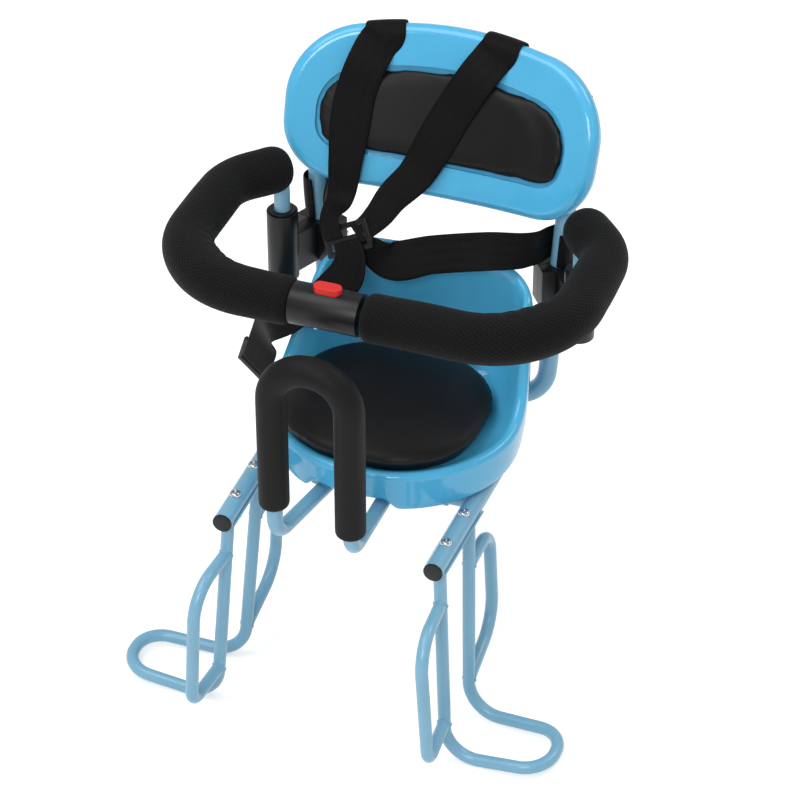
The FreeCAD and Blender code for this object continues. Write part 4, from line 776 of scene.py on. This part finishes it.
def sleeve_rings(length):
    """A drawn-in rear end, evenly spaced rings and a rounded front end round the arm's tube."""
    rear = [(0.0, 0.0005), (0.0004, 0.006), (0.0016, 0.0115), (0.004, 0.0162), (0.008, 0.0198),
            (0.013, 0.022)]
    run_start, run_end = 0.018, length - 0.009
    steps = round((run_end - run_start) / 0.004)
    runs = [(mix(run_start, run_end, step / steps), SLEEVE_RADIUS) for step in range(steps + 1)]
    front = [(length - 0.0055, 0.0227), (length - 0.0025, 0.0215), (length - 0.0006, 0.0192),
             (length, 0.0165), (length, 0.012), (length, SLEEVE_BORE), (length - 0.005, SLEEVE_BORE)]
    return rear + runs + front


def sleeve_swell(along, length, angle):
    """Soft lumps along the foam, and folds pressed up on the inside of the front bend."""
    edge = min(along, length - along)
    if edge < PLAIN_END:
        return 0.0
    lump = noise.noise(Vector((along * 22, math.cos(angle) * 0.8, math.sin(angle) * 0.8))) * 0.0009
    inner = max(math.cos(angle), 0.0) ** 1.5 * math.exp(-((along - BEND_MIDDLE) / FOLD_REACH) ** 2)
    fold = inner * (0.005 + 0.0009 * math.cos(2 * math.pi * (along - BEND_MIDDLE) / FOLD_PITCH))
    return (lump + fold) * min(1.0, (edge - PLAIN_END) / 0.02)


def scale_uv(piece, across, along):
    for loop in piece.data.uv_layers.active.data:
        loop.uv = (loop.uv[0] * across, loop.uv[1] * along)


spacer_mesh = new_material("knitted_spacer_mesh")
mesh_place = add_node(spacer_mesh, "ShaderNodeUVMap")
mesh_parts = add_node(spacer_mesh, "ShaderNodeSeparateXYZ", {0: mesh_place.outputs[0]})
mesh_waves = []
for axis in ("X", "Y"):
    turn = add_node(spacer_mesh, "ShaderNodeMath", {0: mesh_parts.outputs[axis], 1: math.pi},
                    operation="MULTIPLY")
    mesh_waves.append(add_node(spacer_mesh, "ShaderNodeMath", {0: turn.outputs[0]}, operation="COSINE"))
mesh_cells = add_node(spacer_mesh, "ShaderNodeMath", {0: mesh_waves[0].outputs[0],
                                                      1: mesh_waves[1].outputs[0]}, operation="MULTIPLY")
mesh_holes = add_node(spacer_mesh, "ShaderNodeMapRange", {"Value": mesh_cells.outputs[0], "From Min": 0.15,
                                                          "From Max": 0.75}, interpolation_type="SMOOTHSTEP")
mesh_yarn = cloud(spacer_mesh, 1.0, 3.0)
mesh_drop = add_node(spacer_mesh, "ShaderNodeMath", {0: mesh_holes.outputs[0], 1: -1.0, 2: 1.0},
                     operation="MULTIPLY_ADD")
mesh_height = add_node(spacer_mesh, "ShaderNodeMath", {0: mesh_yarn, 1: 0.35, 2: mesh_drop.outputs[0]},
                       operation="MULTIPLY_ADD")
# The holes are painted darker than the yarn round them: painted shade in the knit's holes.
mesh_tint_and_hole_shade = two_tone(spacer_mesh, mesh_holes.outputs[0], "#0F0F10", "#050506")
finish_material(spacer_mesh, {"Base Color": mesh_tint_and_hole_shade, "Roughness": 0.75,
                              "Normal": relief(spacer_mesh, mesh_height.outputs[0], 0.7, 0.0012),
                              "Sheen Weight": 0.04, "Sheen Roughness": 0.5, "IOR": 1.5,
                              "Specular IOR Level": 0.12})

# Side of the middle, and x of the pin, of the bend and of the sleeve's end
ARMS = {"left": (-1, 0.145, 0.1825, -0.0475), "right": (1, 0.161, 0.1985, 0.022)}
for side, (sign, pin_x, bend_x, end_x) in ARMS.items():
    pin = Vector((sign * pin_x, PIN_Y, ARM_Z))
    elbow = Vector((sign * bend_x, ELBOW_Y, ARM_Z))
    start = pin + (pin - elbow).normalized() * PAST_PIN
    route = [(start, 0), (elbow, 0.055), ((sign * bend_x, GUARD_Y, ARM_Z), 0.085),
             ((end_x, GUARD_Y, ARM_Z), 0)]
    sleeve = foam_tube(f"{side}_sleeve_foam", route, (0, 0, -sign), sleeve_rings, 72, sleeve_swell)
    sleeve_length = bent_line(route)[0]
    scale_uv(sleeve, 2 * round(2 * math.pi * SLEEVE_RADIUS / MESH_PITCH),
             round(2 * sleeve_length / MESH_PITCH))
    subdivided(sleeve, 1)
    sleeve.data.materials.append(spacer_mesh)
    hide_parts(f"{side}_arm_sleeve")
    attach(sleeve, f"{side}_arm")

# Buckle: two black nylon halves screwed together round the left arm's end, with a mouth for the right arm's
# blade. The red button on top is ABS.
BUCKLE_EDGE = 0.0008
BUTTON_EDGE = 0.0012
for half in ("upper", "lower"):
    moulding(f"buckle_{half}", BUCKLE_EDGE, black_moulding, "left_arm")
red_abs = new_material("red_abs")
red_grain = cloud(red_abs, 1.5, 3.0)
finish_material(red_abs, {"Base Color": two_tone(red_abs, red_grain, "#C8231F", "#D62B26"),
                          "Roughness": between(red_abs, red_grain, 0.28, 0.42), "IOR": 1.53,
                          "Specular IOR Level": 0.35})
moulding("release_button", BUTTON_EDGE, red_abs, "release_button")

# Harness: black polypropylene webbing, woven in herringbone and pulled through slide adjusters. The shoulder
# straps come over the backrest, and the waist belt loops round each upright.
WEB_THICKNESS = 0.0018
WEB_MILLIMETRES = 40
WEB_CUP = 0.0006
STRAP_STEPS = 8
STRAP_AHEAD = 0.004
webbing = new_material("woven_polypropylene_webbing")
web_place = add_node(webbing, "ShaderNodeUVMap")
web_parts = add_node(webbing, "ShaderNodeSeparateXYZ", {0: web_place.outputs[0]})
# UV units are millimetres: twill ridges 2.4 mm apart turn back every 5 mm across
web_turn = add_node(webbing, "ShaderNodeMath", {0: web_parts.outputs["X"], 1: 5.0}, operation="PINGPONG")
web_slant = add_node(webbing, "ShaderNodeMath", {0: web_turn.outputs[0], 1: 0.9, 2: web_parts.outputs["Y"]},
                     operation="MULTIPLY_ADD")
web_phase = add_node(webbing, "ShaderNodeMath", {0: web_slant.outputs[0], 1: 2 * math.pi / 2.4},
                     operation="MULTIPLY")
web_ridge = add_node(webbing, "ShaderNodeMath", {0: web_phase.outputs[0]}, operation="SINE")
web_level = add_node(webbing, "ShaderNodeMapRange", {"Value": web_ridge.outputs[0], "From Min": -1.0})
# The twill's furrows are painted darker than its ridges: painted shade in the weave.
finish_material(webbing, {"Base Color": two_tone(webbing, web_level.outputs[0], "#070708", "#131315"),
                          "Roughness": 0.55, "Normal": relief(webbing, web_level.outputs[0], 0.4, 0.0005),
                          "Sheen Weight": 0.02, "Sheen Roughness": 0.4, "IOR": 1.49,
                          "Specular IOR Level": 0.1})


def strap_slope(stations, index):
    """How a strap changes for each millimetre at a station, led by the shorter of the runs beside it."""
    runs = [(stations[at], stations[at + 1]) for at in (index - 1, index) if 0 <= at < len(stations) - 1]
    lengths = [math.dist(low[:3], high[:3]) for low, high in runs]
    slopes = [[(b - a) / length for a, b in zip(low, high)] for (low, high), length in zip(runs, lengths)]
    return [(one * lengths[-1] + two * lengths[0]) / (lengths[0] + lengths[-1])
            for one, two in zip(slopes[0], slopes[-1])]


def smooth_between(stations, share):
    """A station on the smooth line through a strap's stations: its place, face and width."""
    at = min(share * (len(stations) - 1), len(stations) - 1.0001)
    first = int(at)
    t = at - first
    low, high = stations[first], stations[first + 1]
    run = math.dist(low[:3], high[:3])
    leaving, arriving = strap_slope(stations, first), strap_slope(stations, first + 1)
    ease = t * t * (3 - 2 * t)
    return [(mix(a, b, ease) + run * t * (1 - t) * ((1 - t) * out - t * into)) / 1000
            for a, b, out, into in zip(low, high, leaving, arriving)]


def strap(node_name, stations):
    """A webbing strap along stations in millimetres: place, the way it faces, and width."""
    steps = STRAP_STEPS * (len(stations) - 1)

    def place(u, v):
        x, y, z, *face, width = smooth_between(stations, v)
        ahead = Vector(smooth_between(stations, min(v + STRAP_AHEAD, 1.0))[:3])
        behind = Vector(smooth_between(stations, max(v - STRAP_AHEAD, 0.0))[:3])
        across = (ahead - behind).cross(Vector(face)).normalized()
        cup = WEB_CUP * (2 * u - 1) ** 2
        return Vector((x, y, z)) + across * width * (u - 0.5) - Vector(face).normalized() * cup

    band = laid_grid(f"{node_name}_web", 8, steps, place)
    middle = [Vector(smooth_between(stations, step / steps)[:3]) for step in range(steps + 1)]
    run = [0.0]
    for low, high in zip(middle, middle[1:]):
        run.append(run[-1] + (high - low).length * 1000)
    for loop in band.data.uv_layers.active.data:
        loop.uv = (loop.uv[0] * WEB_MILLIMETRES, run[round(loop.uv[1] * steps)])
    modified(band, "SOLIDIFY", thickness=WEB_THICKNESS, offset=0)
    subdivided(band, 1)
    band.data.materials.append(webbing)
    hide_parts(node_name)
    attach(band, "frame")


strap("left_shoulder_strap", [
    (-74.4, 190.8, 311.3, -0.18, 0.91, -0.36, 40), (-74.4, 207.3, 353.1, -0.18, 0.91, -0.36, 40),
    (-75.2, 208, 358.8, -0.25, 0.96, 0.14, 40), (-75.1, 205.7, 364, -0.24, 0.76, 0.6, 40),
    (-74.4, 201.2, 367.4, -0.18, 0.36, 0.91, 40), (-73, 194.7, 369.6, -0.13, 0.11, 0.99, 40),
    (-71.6, 189.1, 368.7, 0, -0.4, 0.92, 40), (-70.2, 184.6, 365.2, 0.13, -0.8, 0.59, 40),
    (-69.6, 183.2, 362.7, 0.18, -0.91, 0.36, 40), (-76.4, 178.2, 352.5, 0.2, -0.91, 0.36, 40),
    (-79.8, 166.5, 343.1, 0.22, -0.91, 0.36, 40), (-88.4, 151.8, 311.3, 0.24, -0.9, 0.36, 40),
    (-90.3, 138.5, 279, 0.24, -0.9, 0.36, 40), (-90.3, 126.3, 248.3, 0.24, -0.9, 0.36, 34),
    (-91, 112, 213, 0, -0.93, 0.37, 28), (-92.1, 84.9, 203.4, -0.18, -0.92, 0.35, 22),
    (-84.1, 77.3, 188, -0.18, -0.92, 0.35, 22)])
strap("right_shoulder_strap", [
    (47.6, 196, 313.4, 0.12, 0.92, -0.37, 40), (47.6, 212.6, 355.2, 0.12, 0.92, -0.37, 40),
    (48, 213.3, 360.9, 0.16, 0.98, 0.14, 40), (48, 211, 366.2, 0.16, 0.77, 0.61, 40),
    (47.5, 206.3, 369.6, 0.12, 0.37, 0.92, 40), (46.7, 199.8, 371.8, 0.08, 0.11, 0.99, 40),
    (45.7, 194.1, 371, 0, -0.4, 0.92, 40), (44.8, 189.6, 367.4, -0.08, -0.8, 0.59, 40),
    (44.4, 188.2, 364.9, -0.12, -0.92, 0.37, 40), (38.7, 185.8, 355.9, -0.1, -0.92, 0.37, 40),
    (31.4, 175.6, 346, -0.08, -0.93, 0.37, 40), (7.6, 159.8, 302.8, -0.02, -0.93, 0.37, 40),
    (-6.7, 147.7, 272.1, 0.02, -0.93, 0.37, 40), (-21.9, 134.6, 240.7, 0.06, -0.93, 0.37, 36),
    (-38, 115, 224, 0.1, -0.93, 0.37, 32), (-46, 98, 211.5, 0.05, -0.93, 0.37, 28),
    (-53.5, 84.5, 205, -0.1, -0.92, 0.35, 24), (-61.2, 76.6, 200.2, -0.18, -0.92, 0.35, 22)])
strap("waist_belt", [
    (126.3, 132.1, 188.1, 0, -1, 0, 38), (132.4, 133.8, 187.7, 0.5, -0.87, -0.03, 38),
    (136.9, 138.3, 187.3, 0.86, -0.5, -0.05, 38), (138.5, 144.4, 187.2, 1, 0, -0.06, 38),
    (136.9, 150.6, 187.3, 0.86, 0.5, -0.06, 38), (132.4, 155.1, 187.6, 0.5, 0.87, -0.04, 38),
    (126.3, 156.7, 187.9, 0, 1, 0, 38), (120.1, 155.1, 188.4, -0.5, 0.87, 0.03, 38),
    (115.6, 150.6, 188.7, -0.86, 0.5, 0.05, 38), (114.4, 147.6, 188.8, -0.96, 0.26, 0.06, 38),
    (101, 113, 196, -0.3, 0.94, -0.15, 38), (68, 97, 197, 0.2, 0.9, -0.4, 38),
    (12, 91, 184, 0.1, 0.89, -0.45, 38), (-30, 82, 174, 0.2, 0.89, -0.41, 38),
    (-53.7, 78.7, 185.9, 0.18, 0.92, -0.35, 26), (-67.1, 80.5, 183.6, 0.18, 0.92, -0.35, 22)])
strap("left_belt_wrap", [
    (-126.3, 130.1, 193.1, 0, -1, 0, 46), (-132.9, 131.9, 192.6, -0.5, -0.87, -0.03, 46),
    (-137.8, 136.8, 192.3, -0.86, -0.5, -0.05, 46), (-139.5, 143.4, 192.2, -1, 0, -0.06, 46),
    (-137.8, 150.1, 192.2, -0.86, 0.5, -0.06, 46), (-132.9, 154.9, 192.5, -0.5, 0.87, -0.04, 46),
    (-126.3, 156.7, 192.9, 0, 1, 0, 46), (-119.6, 154.9, 193.4, 0.5, 0.87, 0.03, 46),
    (-114.8, 150.1, 193.7, 0.86, 0.5, 0.05, 46), (-113.4, 146.9, 193.8, 0.96, 0.26, 0.06, 46),
    (-106, 112, 186, 0.98, 0.18, 0, 34), (-98, 96, 184, 0.7, 0.7, -0.1, 28),
    (-92.1, 89.2, 186.6, 0.18, 0.92, -0.35, 24), (-80.8, 86.6, 190.1, 0.18, 0.92, -0.35, 22)])
strap("tail_strap", [
    (-70.9, 75.7, 190.7, -0.18, -0.92, 0.35, 30), (-64.5, 69.7, 178.5, -0.18, -0.92, 0.35, 34),
    (-66, 62, 160, -0.21, -0.93, 0.31, 40), (-88, 47, 139, -0.4, -0.6, 0.7, 40),
    (-103, 28, 128, -0.54, -0.49, 0.69, 40), (-135, 28, 108, -0.5, -0.7, 0.5, 40),
    (-147.4, 43.9, 73.5, -0.42, -0.9, 0.1, 40), (-152.2, 44.4, 58.2, -0.42, -0.9, 0.1, 40),
    (-158.2, 45.1, 39.2, -0.42, -0.9, 0.1, 40)])

# Slide adjusters: moulded nylon bars with two slots each, which the webbing is threaded through. The harness
# gathers in the larger one; the smaller one ends the loose tail.
SLIDER_EDGE = 0.0008
for node_name in ("harness_adjuster", "tail_adjuster"):
    moulding(node_name, SLIDER_EDGE, black_moulding, "frame")
